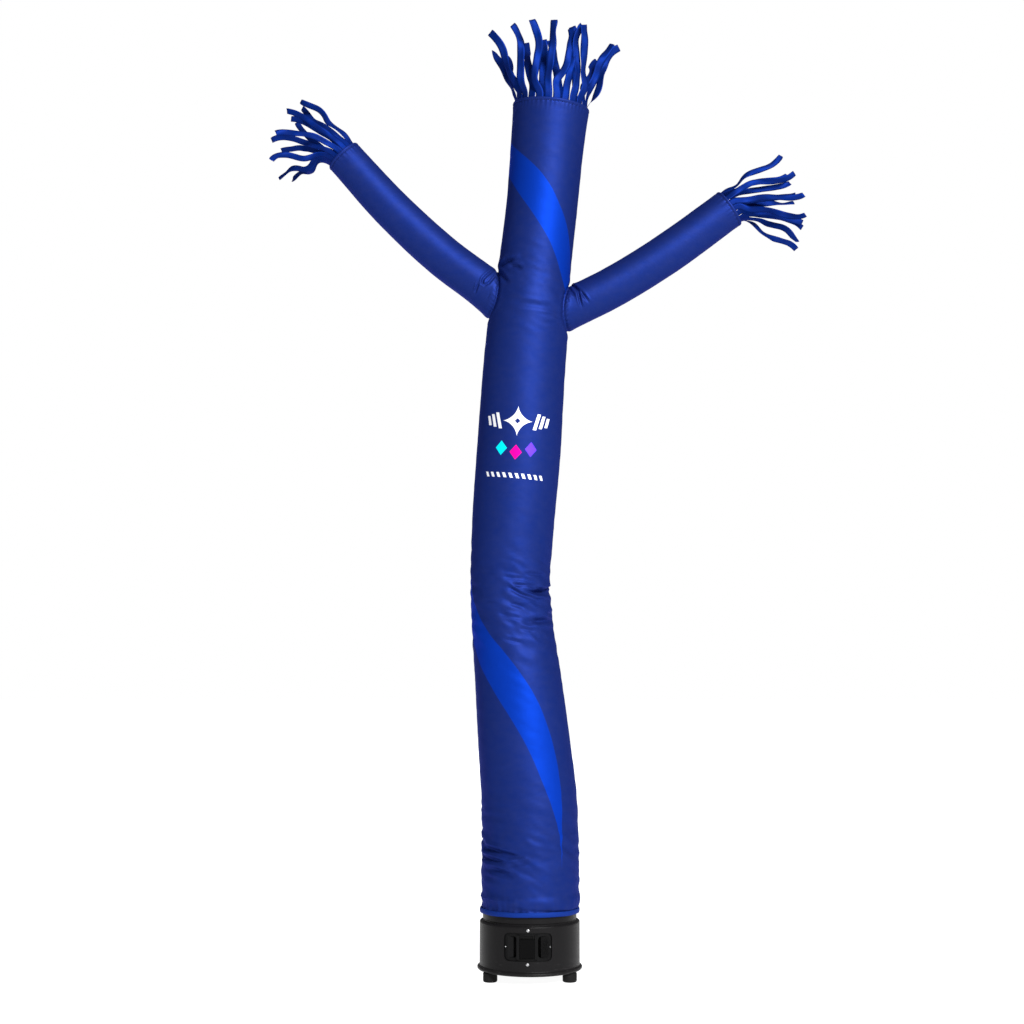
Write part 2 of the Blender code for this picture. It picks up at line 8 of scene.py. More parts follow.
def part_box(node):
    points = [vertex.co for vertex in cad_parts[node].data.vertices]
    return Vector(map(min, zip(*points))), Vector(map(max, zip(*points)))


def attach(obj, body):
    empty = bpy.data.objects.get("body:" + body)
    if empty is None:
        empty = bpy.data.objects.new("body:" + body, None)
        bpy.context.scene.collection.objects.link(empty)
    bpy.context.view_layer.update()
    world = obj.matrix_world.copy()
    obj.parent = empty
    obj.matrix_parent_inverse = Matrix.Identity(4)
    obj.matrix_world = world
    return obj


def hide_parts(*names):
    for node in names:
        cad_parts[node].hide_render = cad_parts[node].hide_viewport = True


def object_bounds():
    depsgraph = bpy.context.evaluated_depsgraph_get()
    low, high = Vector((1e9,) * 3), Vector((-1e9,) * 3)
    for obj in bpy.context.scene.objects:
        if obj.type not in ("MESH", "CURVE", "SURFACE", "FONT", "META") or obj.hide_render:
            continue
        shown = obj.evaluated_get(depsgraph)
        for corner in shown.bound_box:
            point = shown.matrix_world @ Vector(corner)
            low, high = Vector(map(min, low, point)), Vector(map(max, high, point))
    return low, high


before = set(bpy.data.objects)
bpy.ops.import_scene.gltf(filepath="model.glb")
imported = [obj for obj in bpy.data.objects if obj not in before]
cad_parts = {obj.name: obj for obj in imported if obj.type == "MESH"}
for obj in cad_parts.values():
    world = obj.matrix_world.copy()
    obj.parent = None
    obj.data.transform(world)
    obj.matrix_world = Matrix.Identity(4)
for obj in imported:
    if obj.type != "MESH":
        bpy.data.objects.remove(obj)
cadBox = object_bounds()
housingLow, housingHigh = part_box("blower_housing")
blowerAxis = Vector(((housingLow.x + housingHigh.x) / 2, (housingLow.y + housingHigh.y) / 2, 0))
print("frame loaded, blower axis at", tuple(round(c, 4) for c in blowerAxis))

# Lengths are in metres from the blower's axis. Angles are in degrees: 0 right, 90 back, 180 left, 270 front.


class Value:
    # a shader output that adds and multiplies as a number does
    def __init__(self, shop, socket):
        self.shop, self.socket = shop, socket

    def math(self, operation, *others):
        return self.shop.node("ShaderNodeMath", {"operation": operation}, dict(enumerate((self,) + others)))

    def __add__(self, other):
        return self.math("ADD", other)

    def __sub__(self, other):
        return self.math("SUBTRACT", other)

    def __mul__(self, other):
        return self.math("MULTIPLY", other)

    def __truediv__(self, other):
        return self.math("DIVIDE", other)

    def __pow__(self, other):
        return self.math("POWER", other)

    def __rsub__(self, other):
        return self * -1 + other

    def __abs__(self):
        return self.math("ABSOLUTE")

    __radd__, __rmul__ = __add__, __mul__


class Shop:
    # the nodes of one finish, or of the light all round
    def __init__(self, owner, skin):
        owner.use_nodes = True
        self.owner = owner
        self.nodes, self.links = owner.node_tree.nodes, owner.node_tree.links
        self.skin = self.nodes[skin]

    def plug(self, socket, value):
        if isinstance(value, Value):
            self.links.new(value.socket, socket)
        else:
            socket.default_value = (*value, 1.0) if socket.type == "RGBA" else value

    def feed(self, looks):
        for name, value in looks.items():
            self.plug(self.skin.inputs[name], value)

    def node(self, kind, settings=None, sockets=None, output=0):
        made = self.nodes.new(kind)
        for key, value in (settings or {}).items():
            if key == "points":
                self.bend(made.mapping, value)
            else:
                setattr(made, key, value)
        for key, value in (sockets or {}).items():
            self.plug(made.inputs[key], value)
        return Value(self, made.outputs[output])

    def bend(self, mapping, points):
        # lays a curve node's line through these points
        line = mapping.curves[0].points
        line[0].location, line[1].location = points[0], points[-1]
        for point in points[1:-1]:
            line.new(*point)
        mapping.update()

    def room(self):
        return self.node("ShaderNodeTexCoord", output="Object")

    def split(self, vector):
        return [self.node("ShaderNodeSeparateXYZ", {}, {0: vector}, k) for k in range(3)]

    def join(self, x, y, z):
        return self.node("ShaderNodeCombineXYZ", {}, {0: x, 1: y, 2: z})

    def spread(self, vector, x, y, z):
        return self.node("ShaderNodeVectorMath", {"operation": "MULTIPLY"}, {0: vector, 1: (x, y, z)})

    def grain(self, vector, scale, detail=2.0):
        return self.node("ShaderNodeTexNoise", {}, {"Vector": vector, "Scale": scale, "Detail": detail})

    def ramp(self, value, low, high, start=0.0, end=1.0):
        return self.node("ShaderNodeMapRange", {"interpolation_type": "SMOOTHSTEP"},
                         {"Value": value, "From Min": low, "From Max": high, "To Min": start, "To Max": end})

    def mix(self, share, first, second):
        return self.node("ShaderNodeMix", {"data_type": "RGBA"}, {0: share, 6: first, 7: second}, 2)

    def dye(self, colour, value, saturation=1.0):
        sockets = {"Color": colour, "Value": value, "Saturation": saturation}
        return self.node("ShaderNodeHueSaturation", {}, sockets)

    def bump(self, height, distance, strength=1.0, under=None):
        sockets = {"Height": height, "Distance": distance, "Strength": strength}
        if under:
            sockets["Normal"] = under
        return self.node("ShaderNodeBump", {}, sockets)


def newFinish(name, looks):
    shop = Shop(bpy.data.materials.new(name), "Principled BSDF")
    shop.feed(looks)
    return shop


def newObject(name, data):
    made = bpy.data.objects.new(name, data)
    bpy.context.scene.collection.objects.link(made)
    return made


def meshObject(name, points, faces, finish, places=None, smooth=True):
    # places are the cloth's own flat coordinates, one for each corner of each face
    mesh = bpy.data.meshes.new(name)
    mesh.from_pydata((np.asarray(points) + np.array(blowerAxis)).tolist(), [], faces)
    if places is not None:
        layer = mesh.uv_layers.new(name="cloth")
        layer.data.foreach_set("uv", np.asarray(places, np.float32).ravel())
    if smooth:
        mesh.shade_smooth()
    mesh.materials.append(finish)
    return newObject(name, mesh)


def place(piece, slot, *nodes):
    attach(piece, "root")
    if nodes:
        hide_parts(*nodes)
    return piece


# ways of a rod's six corners round its middle
rodTurns = np.radians(range(0, 360, 60))


def rodFaces(first, rings):
    # a six-sided rod of this many rings, closed at both ends
    faces = []
    for ring in range(rings - 1):
        for k in range(6):
            a, b = first + ring * 6 + k, first + ring * 6 + (k + 1) % 6
            faces.append((a, b, b + 6, a + 6))
    last = first + 6 * (rings - 1)
    return faces + [tuple(first + k for k in range(5, -1, -1)), tuple(last + k for k in range(6))]


view = {"place": (-0.0538, -5.447, 0.99), "lens": 62.05, "pitch": 4.47, "sensor": 36, "far": 200}
studio = {
    # lamps: place, size, watts and whether it shows in gloss
    "lamps": [((5.4, -11.7, 8.4), 5.0, 4060, True), ((-4.6, 10.5, 6.0), 5.0, 2400, False)],
    "aim": (0, 0, 1.4), "surround": 0.205, "floorReach": 30, "floorGrey": 0.25, "floorGlow": 0.95}


def makeCamera():
    camera = newObject("camera", bpy.data.cameras.new("camera"))
    camera.location = blowerAxis + Vector(view["place"])
    camera.rotation_euler = (math.radians(90 + view["pitch"]), 0, 0)
    camera.data.lens, camera.data.sensor_width, camera.data.clip_end = view["lens"], view["sensor"], view["far"]
    bpy.context.scene.camera = camera
    bpy.context.scene.view_settings.view_transform = "Standard"


def makeLamps():
    for stand, size, watts, glossy in studio["lamps"]:
        lamp = bpy.data.lights.new("lamp", "AREA")
        lamp.shape, lamp.size, lamp.energy = "DISK", size, watts
        softBox = newObject("lamp", lamp)
        softBox.location, softBox.visible_glossy = stand, glossy
        softBox.rotation_euler = (Vector(studio["aim"]) - softBox.location).to_track_quat("-Z", "Y").to_euler()


def makeSurround():
    # white behind the figure, dimmer as a light
    world = bpy.data.worlds.new("studio")
    bpy.context.scene.world = world
    shop = Shop(world, "Background")
    seen = shop.node("ShaderNodeLightPath", output="Is Camera Ray")
    shop.feed({"Color": (1, 1, 1), "Strength": seen * (1 - studio["surround"]) + studio["surround"]})


def makeFloor():
    mesh = bpy.data.meshes.new("floor")
    reach, level, grey = studio["floorReach"], cadBox[0].z, studio["floorGrey"]
    corners = [(x * reach, y * reach, level) for x, y in ((-1, -1), (1, -1), (1, 1), (-1, 1))]
    mesh.from_pydata(corners, [], [(0, 1, 2, 3)])
    mesh.materials.append(newFinish("floor", {
        "Roughness": 0.7, "Base Color": (grey, grey, grey), "Emission Color": (1, 1, 1),
        "Emission Strength": studio["floorGlow"]}).owner)
    newObject("floor", mesh)


makeCamera()
makeLamps()
makeSurround()
makeFloor()
print("studio made")


def ease(x):
    x = np.clip(x, 0.0, 1.0)
    return x * x * (3 - 2 * x)


def smoothCurve(xs, ys, x):
    # a cubic through the rows that never overshoots them
    xs, ys, x = (np.asarray(v, float) for v in (xs, ys, x))
    step = np.diff(ys) / np.diff(xs)
    product = step[:-1] * step[1:]
    total = np.where(product > 0, step[:-1] + step[1:], 1.0)
    slope = np.concatenate(([step[0]], np.where(product > 0, 2 * product / total, 0.0), [step[-1]]))
    i = np.clip(np.searchsorted(xs, x, side="right") - 1, 0, len(xs) - 2)
    width = xs[i + 1] - xs[i]
    t = (x - xs[i]) / width
    return ((1 + 2 * t) * (1 - t) ** 2 * ys[i] + t * (1 - t) ** 2 * width * slope[i]
            + t * t * (3 - 2 * t) * ys[i + 1] + t * t * (t - 1) * width * slope[i + 1])


def finishTube(tube):
    # adds how far along its axis each section is; the body goes by height
    rows = np.array(tube["sections"])
    if tube is body:
        along, x, y, radius = rows.T
        z = along
    else:
        x, y, z, radius = rows.T
        along = np.concatenate(([0.0], np.cumsum(np.linalg.norm(np.diff(rows[:, :3], axis=0), axis=1))))
    tube.update(along=along, x=x, y=y, z=z, radius=radius)


def tubeCentre(tube, along):
    return np.stack([smoothCurve(tube["along"], tube[c], along) for c in "xyz"], -1)


def tubeFrame(tube, along):
    # centre, radius, side, depth and axis of the sections at these places
    along = np.asarray(along, float)
    start, end = tube["along"][0], tube["along"][-1]
    axis = tubeCentre(tube, np.minimum(along + 0.004, end)) - tubeCentre(tube, np.maximum(along - 0.004, start))
    axis /= np.linalg.norm(axis, axis=-1, keepdims=True)
    side = np.stack([axis[..., 2], np.zeros(axis.shape[:-1]), -axis[..., 0]], -1)
    side /= np.linalg.norm(side, axis=-1, keepdims=True)
    radius = smoothCurve(tube["along"], tube["radius"], along)
    return tubeCentre(tube, along), radius, side, np.cross(axis, side), axis


def tubePoints(tube, along, angle, swell):
    # places on a tube; swell is how far out of its plain round form each lies
    centre, radius, side, depth, _ = tubeFrame(tube, along)
    turn = np.radians(angle)[..., None]
    return centre + (side * np.cos(turn) + depth * np.sin(turn)) * (radius + swell)[..., None]


def tubePlace(tube, points):
    # how far along, and how far outside the plain round form, places near a tube are
    along = np.interp(points[..., 2], tube["z"], tube["along"])
    for _ in range(8):
        centre, radius, side, depth, axis = tubeFrame(tube, along)
        along = np.clip(along + 0.9 * ((points - centre) * axis).sum(-1), tube["along"][0], tube["along"][-1])
    centre, radius = tubeFrame(tube, along)[:2]
    return along, np.linalg.norm(points - centre, axis=-1) - radius


def cloud(places, scale, seed):
    # smooth noise from about -1 to 1
    flat = (places * scale + seed).reshape(-1, 3)
    return np.array([noise.noise(p) for p in flat]).reshape(places.shape[:-1])


def creaseSwell(tube, along, angle):
    # how far the creases listed for a tube move its cloth
    margin, lipAt, lipWide = 0.03, 1.8, 0.75
    swell = np.zeros(along.shape)
    for path, width, depth, lipAbove, lipBelow, fadeIn, fadeOut in tube["creases"]:
        low, high = min(p[0] for p in path) - margin, max(p[0] for p in path) + margin
        near = np.where((along.max(axis=1) > low) & (along.min(axis=1) < high))[0]
        place, turn = along[near], angle[near]
        radius = tubeFrame(tube, np.mean([p[0] for p in path]))[1]
        spans = [math.hypot(math.radians(b[1] - a[1]) * radius, b[0] - a[0]) for a, b in zip(path, path[1:])]
        off, above, share, done = np.full(place.shape, 9.0), np.zeros(place.shape), np.zeros(place.shape), 0.0
        for a, b, span in zip(path, path[1:], spans):
            x, y = np.radians((turn - a[1] + 180) % 360 - 180) * radius, place - a[0]
            dx, dy = math.radians(b[1] - a[1]) * radius, b[0] - a[0]
            t = np.clip((x * dx + y * dy) / span ** 2, 0, 1)
            away = np.hypot(x - t * dx, y - t * dy)
            nearer = away < off
            off = np.where(nearer, away, off)
            above = np.where(nearer, (dx * y - dy * x) * math.copysign(1, dx), above)
            share = np.where(nearer, (done + t * span) / sum(spans), share)
            done += span
        fade = ease(share / fadeIn) * ease((1 - share) / fadeOut)
        off *= 1000 / width
        lip = np.exp(-((off - lipAt) / lipWide) ** 2) * np.where(above > 0, lipAbove, lipBelow)
        swell[near] += fade * (lip - depth * np.exp(-off ** 1.6)) / 1000
    return swell


# roll: further along and further in, from the rim, where the hem turns inside
hem = {
    "stitch": 0.0082, "groove": 0.0019, "grooveWide": 0.0016, "pucker": 0.0011, "puckerReach": 0.011,
    "padding": 0.0013, "paddingWide": 0.003,
    "roll": [(0.0007, -0.0005), (0.0009, -0.0012), (0.0004, -0.0019), (-0.007, -0.0021), (-0.015, -0.0021)]}
stitching = {"pitch": 0.007, "share": 0.36, "thread": 0.0007, "colour": (0.006, 0.014, 0.09),
             "seamApart": 0.0062}


def hemSwell(tube, along, angle):
    # a stitched groove under the rim, with the cloth puckered on each side of it
    rim = tube["along"][-1]
    count = round(2 * math.pi * tube["radius"][-1] / stitching["pitch"])
    turn, below = np.radians(angle), rim - hem["stitch"] - along
    groove = np.exp(-(below / hem["grooveWide"]) ** 2) * (1 + 0.45 * np.cos(count * turn))
    fading = np.where(below > 0, np.exp(-below / hem["puckerReach"]), 0)
    pucker = fading * np.cos(count / 2 * turn + 1.3 * np.sin(5 * turn))
    padding = np.exp(-((below + 0.0045) / hem["paddingWide"]) ** 2)
    return hem["padding"] * padding - hem["groove"] * groove + hem["pucker"] * pucker


def hemRolled(along, angle, swell):
    # adds the hem's rows, that turn in over the rim
    rim, out = along[-1], swell[-1]
    further = [rim + up for up, _ in hem["roll"]]
    inside = [out * (1 if up > 0 else 0.5) + inward for up, inward in hem["roll"]]
    turns = [angle[-1:]] * len(further)
    return np.vstack([along] + further), np.vstack([angle] + turns), np.vstack([swell] + inside)


def tubeRows(spans):
    rows = [np.linspace(start, end, count, endpoint=False) for start, end, count in spans]
    return np.concatenate(rows + [[spans[-1][1]]])


def tubeObject(name, tube, along, angle, swell, start, finish, keep=None):
    # a tube's cloth, whose flat coordinates are its turn from the start and its length
    points, turn = tubePoints(tube, along, angle, swell), (angle - start) / 360
    rows, columns = points.shape[:2]
    index = np.arange(rows * (columns - 1)).reshape(rows, columns - 1)
    after = np.roll(index, -1, axis=1)
    faces = np.stack([index[:-1], after[:-1], after[1:], index[1:]], -1).reshape(-1, 4)
    row, column = np.meshgrid(np.arange(rows - 1), np.arange(columns - 1), indexing="ij")
    row, column = row[..., None] + [0, 0, 1, 1], column[..., None] + [0, 1, 1, 0]
    places = np.stack([turn[row, column], along[row, column]], -1).reshape(-1, 4, 2)
    if keep is not None:
        faces, places = faces[keep.ravel()], places[keep.ravel()]
    used, faces = np.unique(faces, return_inverse=True)
    return meshObject(name, points[:, :-1].reshape(-1, 3)[used], faces.reshape(-1, 4).tolist(), finish, places)


# swooshes: the height of each edge's points and how far round from the back seam they are, in degrees
swoosh = {
    "colour": (0.0024, 0.03, 0.315), "soft": 0.0012,
    "stripes": [
        {"low": 1.8, "high": 2.63,
         "left": [(1.8, 284), (1.9, 271), (2.01, 257), (2.07, 249.5), (2.13, 235), (2.19, 218), (2.25, 199),
                  (2.305, 177), (2.37, 148), (2.44, 112), (2.5, 62), (2.56, 36), (2.63, 20)],
         "right": [(1.8, 284), (1.9, 282), (2.00, 276), (2.1, 267.5), (2.18, 257.5), (2.24, 246.5),
                   (2.305, 230), (2.37, 208), (2.43, 186), (2.48, 161), (2.55, 109), (2.6, 62), (2.63, 20)]},
        {"low": 0.337, "high": 1.42,
         "left": [(0.337, 218.5), (0.44, 215.5), (0.51, 207.5), (0.585, 197.5), (0.68, 185.5), (0.765, 170),
                  (0.845, 151.5), (0.93, 129.5), (1.01, 108), (1.1, 85), (1.2, 62), (1.32, 36), (1.42, 20)],
         "right": [(0.337, 218.5), (0.48, 220.5), (0.59, 221), (0.67, 219), (0.76, 211.5), (0.84, 200.5),
                   (0.91, 185.5), (0.99, 163.5), (1.06, 139.5), (1.13, 118), (1.195, 104), (1.26, 86),
                   (1.33, 60), (1.42, 20)]}]}
# bars: how far each is from the middle and half how tall it is; diamonds: colour, how far right and how far below
# pairs of the edges: where each starts to fade and where it has gone
emblem = {
    "height": 1.687, "turn": 176.0, "radius": 0.13, "white": (0.86, 0.87, 0.9),
    "star": 0.047, "hollow": 0.62, "starEdge": (0.985, 1.015), "holeEdge": (0.0085, 0.0092), "fade": 0.0008,
    "bars": [(0.06, 0.024), (0.078, 0.019), (0.096, 0.014)], "barEdge": (0.005, 0.0058), "barLean": 0.28,
    "diamonds": [((0.002, 0.75, 0.86), -0.046, 0.084), ((0.8, 0.002, 0.26), 0.0, 0.095),
                 ((0.115, 0.042, 0.92), 0.046, 0.084)],
    "diamondWide": 0.0185, "diamondTall": 0.0225, "diamondEdge": (0.98, 1.02),
    "ticksBelow": 0.166, "ticksEdge": (0.0965, 0.0975), "tickPitch": 0.0098, "tickLean": 0.45,
    "tickGap": (0.0048, 0.0056), "tickTall": (0.0068, 0.0076)}
nylon = {
    "navy": (0.0092, 0.0215, 0.139), "streamer": (0.003, 0.015, 0.13), "dust": (0.1, 0.11, 0.13),
    "metal": 0.54, "gloss": 0.06, "glossTint": (0.14, 0.28, 0.95), "roughness": 0.525, "uneven": 0.06,
    "yarn": 0.0011, "girth": 2 * math.pi * 0.13}


def swooshMask(shop, turn, height):
    soft, mask = swoosh["soft"], None
    for stripe in swoosh["stripes"]:
        low, span = stripe["low"], stripe["high"] - stripe["low"]
        share = (height - low) / span
        lines = [[((h - low) / span, angle / 360) for h, angle in stripe[edge]] for edge in ("left", "right")]
        left, right = (shop.node("ShaderNodeFloatCurve", {"points": line}, {"Value": share}) for line in lines)
        inside = shop.ramp(turn - left, -soft, soft) * shop.ramp(right - turn, -soft, soft)
        inside = inside * shop.ramp(share, 0.0, 0.004) * shop.ramp(share, 0.996, 1.0, 1.0, 0.0)
        mask = mask.math("MAXIMUM", inside) if mask else inside
    return mask


def emblemPaint(shop, turn, height, ground):
    # a concave star between slanted bars, three diamonds and a row of ticks
    across = (turn * 360 - emblem["turn"]) * math.radians(1) * emblem["radius"]
    up = height - emblem["height"]
    x, y = abs(across), abs(up)

    def within(distance, edge):
        return shop.ramp(distance, *edge, 1.0, 0.0)

    star = (x / emblem["star"]) ** emblem["hollow"] + (y / emblem["star"]) ** emblem["hollow"]
    white = within(star, emblem["starEdge"]) * shop.ramp(x + y, *emblem["holeEdge"])
    for middle, tall in emblem["bars"]:
        lean = x - middle - up * emblem["barLean"]
        bar = within(abs(lean), emblem["barEdge"]) * within(y, (tall, tall + emblem["fade"]))
        white = white.math("MAXIMUM", bar)
    fromTicks = up + emblem["ticksBelow"]
    gap = (across + fromTicks * emblem["tickLean"]).math("PINGPONG", emblem["tickPitch"])
    ticks = shop.ramp(gap, *emblem["tickGap"]) * within(abs(fromTicks), emblem["tickTall"])
    ticks = ticks * within(x, emblem["ticksEdge"])
    paint = shop.mix(white.math("MAXIMUM", ticks), ground, emblem["white"])
    for colour, left, low in emblem["diamonds"]:
        diamond = abs(across - left) / emblem["diamondWide"] + abs(up + low) / emblem["diamondTall"]
        paint = shop.mix(within(diamond, emblem["diamondEdge"]), paint, colour)
    return paint


def nylonFinish(name, base, girth, printed=False):
    # thin plain-woven nylon: satin, finely crinkled, a little uneven in its dye
    shop = newFinish(name, {"Metallic": nylon["metal"], "Specular IOR Level": nylon["gloss"],
                            "Specular Tint": nylon["glossTint"]})
    turn, along, _ = shop.split(shop.node("ShaderNodeUVMap", {"uv_map": "cloth"}))
    room = shop.room()
    drift, crinkle = shop.grain(room, 3.1, 3.0), shop.grain(shop.spread(room, 1, 1, 1.7), 34.0, 3.0)
    tint = shop.dye(base, 0.9 + drift * 0.2, 1.03 - crinkle * 0.06)
    roughness = nylon["roughness"] + drift * nylon["uneven"]
    if printed:
        mask = swooshMask(shop, turn, along)
        tint = emblemPaint(shop, turn, along, shop.mix(mask, tint, swoosh["colour"]))
        dust = shop.ramp(along, 0.2, 0.3, 1.0, 0.0) * shop.ramp(crinkle, 0.45, 0.7)
        tint = shop.mix(dust * 0.025, tint, nylon["dust"])
        roughness = roughness + dust * 0.08
    warp = (turn * (girth / nylon["yarn"] * 2 * math.pi)).math("SINE")
    weft = (along * (2 * math.pi / nylon["yarn"])).math("SINE")
    weave = abs(warp) * 0.5 + abs(weft) * 0.5 + warp * weft * 0.25
    folds = shop.bump(crinkle, 0.0016, 0.35)
    shop.feed({"Base Color": tint, "Roughness": roughness, "Normal": shop.bump(weave, 0.00006, 0.5, folds)})
    return shop.owner


bodyNavy = nylonFinish("navy_nylon", nylon["navy"], nylon["girth"], printed=True)
sleeveNavy = nylonFinish("sleeve_nylon", nylon["navy"], nylon["girth"] / 2)
streamerBlue = nylonFinish("streamer_nylon", nylon["streamer"], nylon["girth"] / 2)
print("cloth finishes made")

body = {
    # height, x, y, radius
    "sections": [
        (0.197, 0.000, 0.000, 0.1463), (0.213, 0.000, 0.000, 0.1463), (0.243, 0.002, 0.000, 0.1512),
        (0.262, 0.002, 0.000, 0.1480), (0.300, 0.002, 0.001, 0.1490), (0.500, 0.000, 0.004, 0.1475),
        (0.700, -0.016, 0.009, 0.1412), (0.900, -0.035, 0.014, 0.1325), (1.080, -0.053, 0.017, 0.1250),
        (1.190, -0.059, 0.018, 0.1228), (1.370, -0.051, 0.016, 0.1270), (1.600, -0.033, 0.010, 0.1305),
        (1.850, -0.017, 0.003, 0.1282), (2.000, -0.004, -0.002, 0.1255), (2.190, 0.018, -0.007, 0.1130),
        (2.370, 0.039, -0.012, 0.1112), (2.560, 0.056, -0.018, 0.1145), (2.687, 0.069, -0.022, 0.1195)],
    # start, end, rows: closest where the cloth creases
    "rows": [(0.200, 0.215, 5), (0.215, 0.440, 58), (0.440, 1.000, 58), (1.000, 1.270, 74), (1.270, 1.960, 60),
             (1.960, 2.250, 66), (2.250, 2.655, 36), (2.655, 2.687, 14)],
    "sides": 216, "flat": (0.86, 2.51),
    "pleats": {"from": 0.21, "full": 0.215, "reach": 0.013, "varies": 0.007, "deep": 0.0034},
    # zones: height and reach of the waist, the foot and the neck
    # soft and fine: depth all over, then what each zone adds
    "ripples": {"zones": [(1.12, 0.17), (0.38, 0.15), (2.09, 0.1)], "slope": 0.44, "broad": 0.0009,
                "soft": (0.0007, 0.0066, 0.0034, 0.0013), "fine": (0.0001, 0.0012, 0.0008, 0.0005)},
    "seam": {"proud": 0.0009, "half": 0.0055, "sunk": 0.0012},
    "armhole": {"from": 0.02, "sunk": 0.0036, "proud": 0.0012, "cut": 0.005},
    "tuck": {"from": 0.205, "over": 0.008, "height": 0.218, "half": 0.004, "deep": 0.0036,
             "neckTop": 0.247, "neckRadius": 0.1432},
    # path of (height, angle), half width mm, depth mm, lip above mm, lip below mm, fade in, fade out
    "creases": [
        ([(1.1663, 284), (1.1632, 301), (1.162, 318), (1.164, 332), (1.1765, 346), (1.185, 376)],
         4.2, 6.5, 2.6, 2.0, 0.25, 0.25),
        ([(1.161, 286), (1.161, 312), (1.1635, 335), (1.166, 378)], 11.5, 19.0, 2.6, 4.6, 0.38, 0.6),
        ([(1.1835, 308), (1.1809, 327), (1.18, 350)], 5.0, -2.4, 0, 0, 0.3, 0.3),
        ([(1.19, 262), (1.1565, 284), (1.137, 310), (1.1365, 348)], 5.0, 5.5, 4.2, 0.8, 0.15, 0.3),
        ([(1.187, 266), (1.183, 314)], 4.6, 3.8, 2.2, 1.0, 0.3, 0.3),
        ([(1.07, 280), (1.0705, 308), (1.071, 335), (1.074, 376)], 9.0, 15.0, 3.0, 3.0, 0.36, 0.58),
        ([(1.09, 318), (1.091, 366)], 7.0, 5.0, 1.6, 2.4, 0.5, 0.4),
        ([(1.131, 266), (1.1136, 292)], 5.5, 3.2, 1.8, 0.9, 0.3, 0.3),
        ([(1.104, 250), (1.077, 284)], 5.8, 3.4, 1.9, 0.9, 0.3, 0.3),
        ([(1.054, 278), (1.038, 303)], 5.2, 2.4, 1.4, 0.8, 0.3, 0.3),
        ([(1.027, 252), (1.005, 284)], 5.6, 2.6, 1.5, 0.8, 0.3, 0.3),
        ([(1.2125, 258), (1.204, 290)], 5.2, 2.8, 1.6, 0.8, 0.3, 0.3),
        ([(1.2235, 286), (1.2208, 334)], 5.4, 3.0, 1.7, 0.9, 0.3, 0.3),
        ([(1.148, 228), (1.133, 252)], 4.0, 1.6, 0.8, 0.5, 0.4, 0.4),
        ([(1.23, 222), (1.216, 250)], 4.0, 1.4, 0.8, 0.5, 0.4, 0.4),
        ([(1.175, 20), (1.16, 62), (1.166, 100)], 5.0, 4.0, 1.6, 1.2, 0.3, 0.3),
        ([(1.125, 96), (1.138, 140), (1.13, 172)], 5.0, 2.8, 1.3, 0.9, 0.3, 0.3),
        ([(1.056, 30), (1.048, 74)], 5.0, 2.0, 1.0, 0.7, 0.4, 0.4),
        ([(0.641, 226), (0.627, 252)], 6.0, 2.2, 1.2, 0.8, 0.3, 0.3),
        ([(0.526, 244), (0.51, 270)], 6.0, 2.4, 1.4, 0.8, 0.3, 0.3),
        ([(0.496, 186), (0.4901, 222), (0.4855, 248)], 7.0, 3.6, 2.0, 1.4, 0.3, 0.3),
        ([(0.398, 196), (0.3879, 229), (0.366, 264)], 8.0, 9.0, 5.0, 2.6, 0.25, 0.3),
        ([(0.37, 176), (0.3661, 206), (0.355, 246)], 7.5, 8.5, 3.4, 2.8, 0.25, 0.3),
        ([(0.351, 240), (0.36, 270)], 6.5, 4.2, 2.2, 1.4, 0.3, 0.3),
        ([(0.334, 198), (0.3305, 226), (0.316, 256)], 8.0, 6.0, 3.2, 2.0, 0.3, 0.3),
        ([(0.523, 160), (0.518, 206)], 6.5, 3.0, 1.4, 1.0, 0.4, 0.4),
        ([(0.456, 158), (0.445, 204)], 6.5, 3.2, 1.5, 1.0, 0.4, 0.4),
        ([(0.42, 164), (0.412, 208)], 6.0, 3.0, 1.4, 1.0, 0.4, 0.4),
        ([(0.47, 84), (0.456, 128)], 6.0, 2.4, 1.2, 0.8, 0.4, 0.4),
        ([(0.35, 60), (0.362, 108)], 6.0, 2.6, 1.2, 0.8, 0.4, 0.4),
        ([(2.156, 192), (2.165, 204), (2.1775, 218), (2.181, 240)], 7.2, 10.5, 5.5, 2.4, 0.2, 0.35),
        ([(2.164, 224), (2.1605, 238), (2.153, 254)], 6.5, 8.0, 4.4, 2.0, 0.35, 0.35),
        ([(2.044, 226), (2.0465, 262), (2.0462, 299), (2.034, 322), (2.008, 348)],
         9.0, 2.0, 1.4, 1.0, 0.25, 0.25),
        ([(1.993, 286), (2.006, 326), (2.008, 346)], 5.0, 2.2, 1.3, 0.8, 0.4, 0.4),
        ([(2.02, 280), (2.024, 312), (2.009, 340)], 4.4, 1.8, 1.1, 0.7, 0.4, 0.3),
        ([(2.15, 196), (2.13, 216), (2.103, 236)], 7.5, 6.0, 3.4, 1.6, 0.2, 0.4),
        ([(2.196, 224), (2.193, 248)], 8.0, -3.4, 0, 0, 0.4, 0.4),
        ([(2.11, 322), (2.088, 340)], 5.0, 2.2, 1.2, 0.8, 0.4, 0.3),
        ([(2.05, 92), (2.038, 148)], 5.0, 2.2, 1.1, 0.7, 0.4, 0.4)],
}
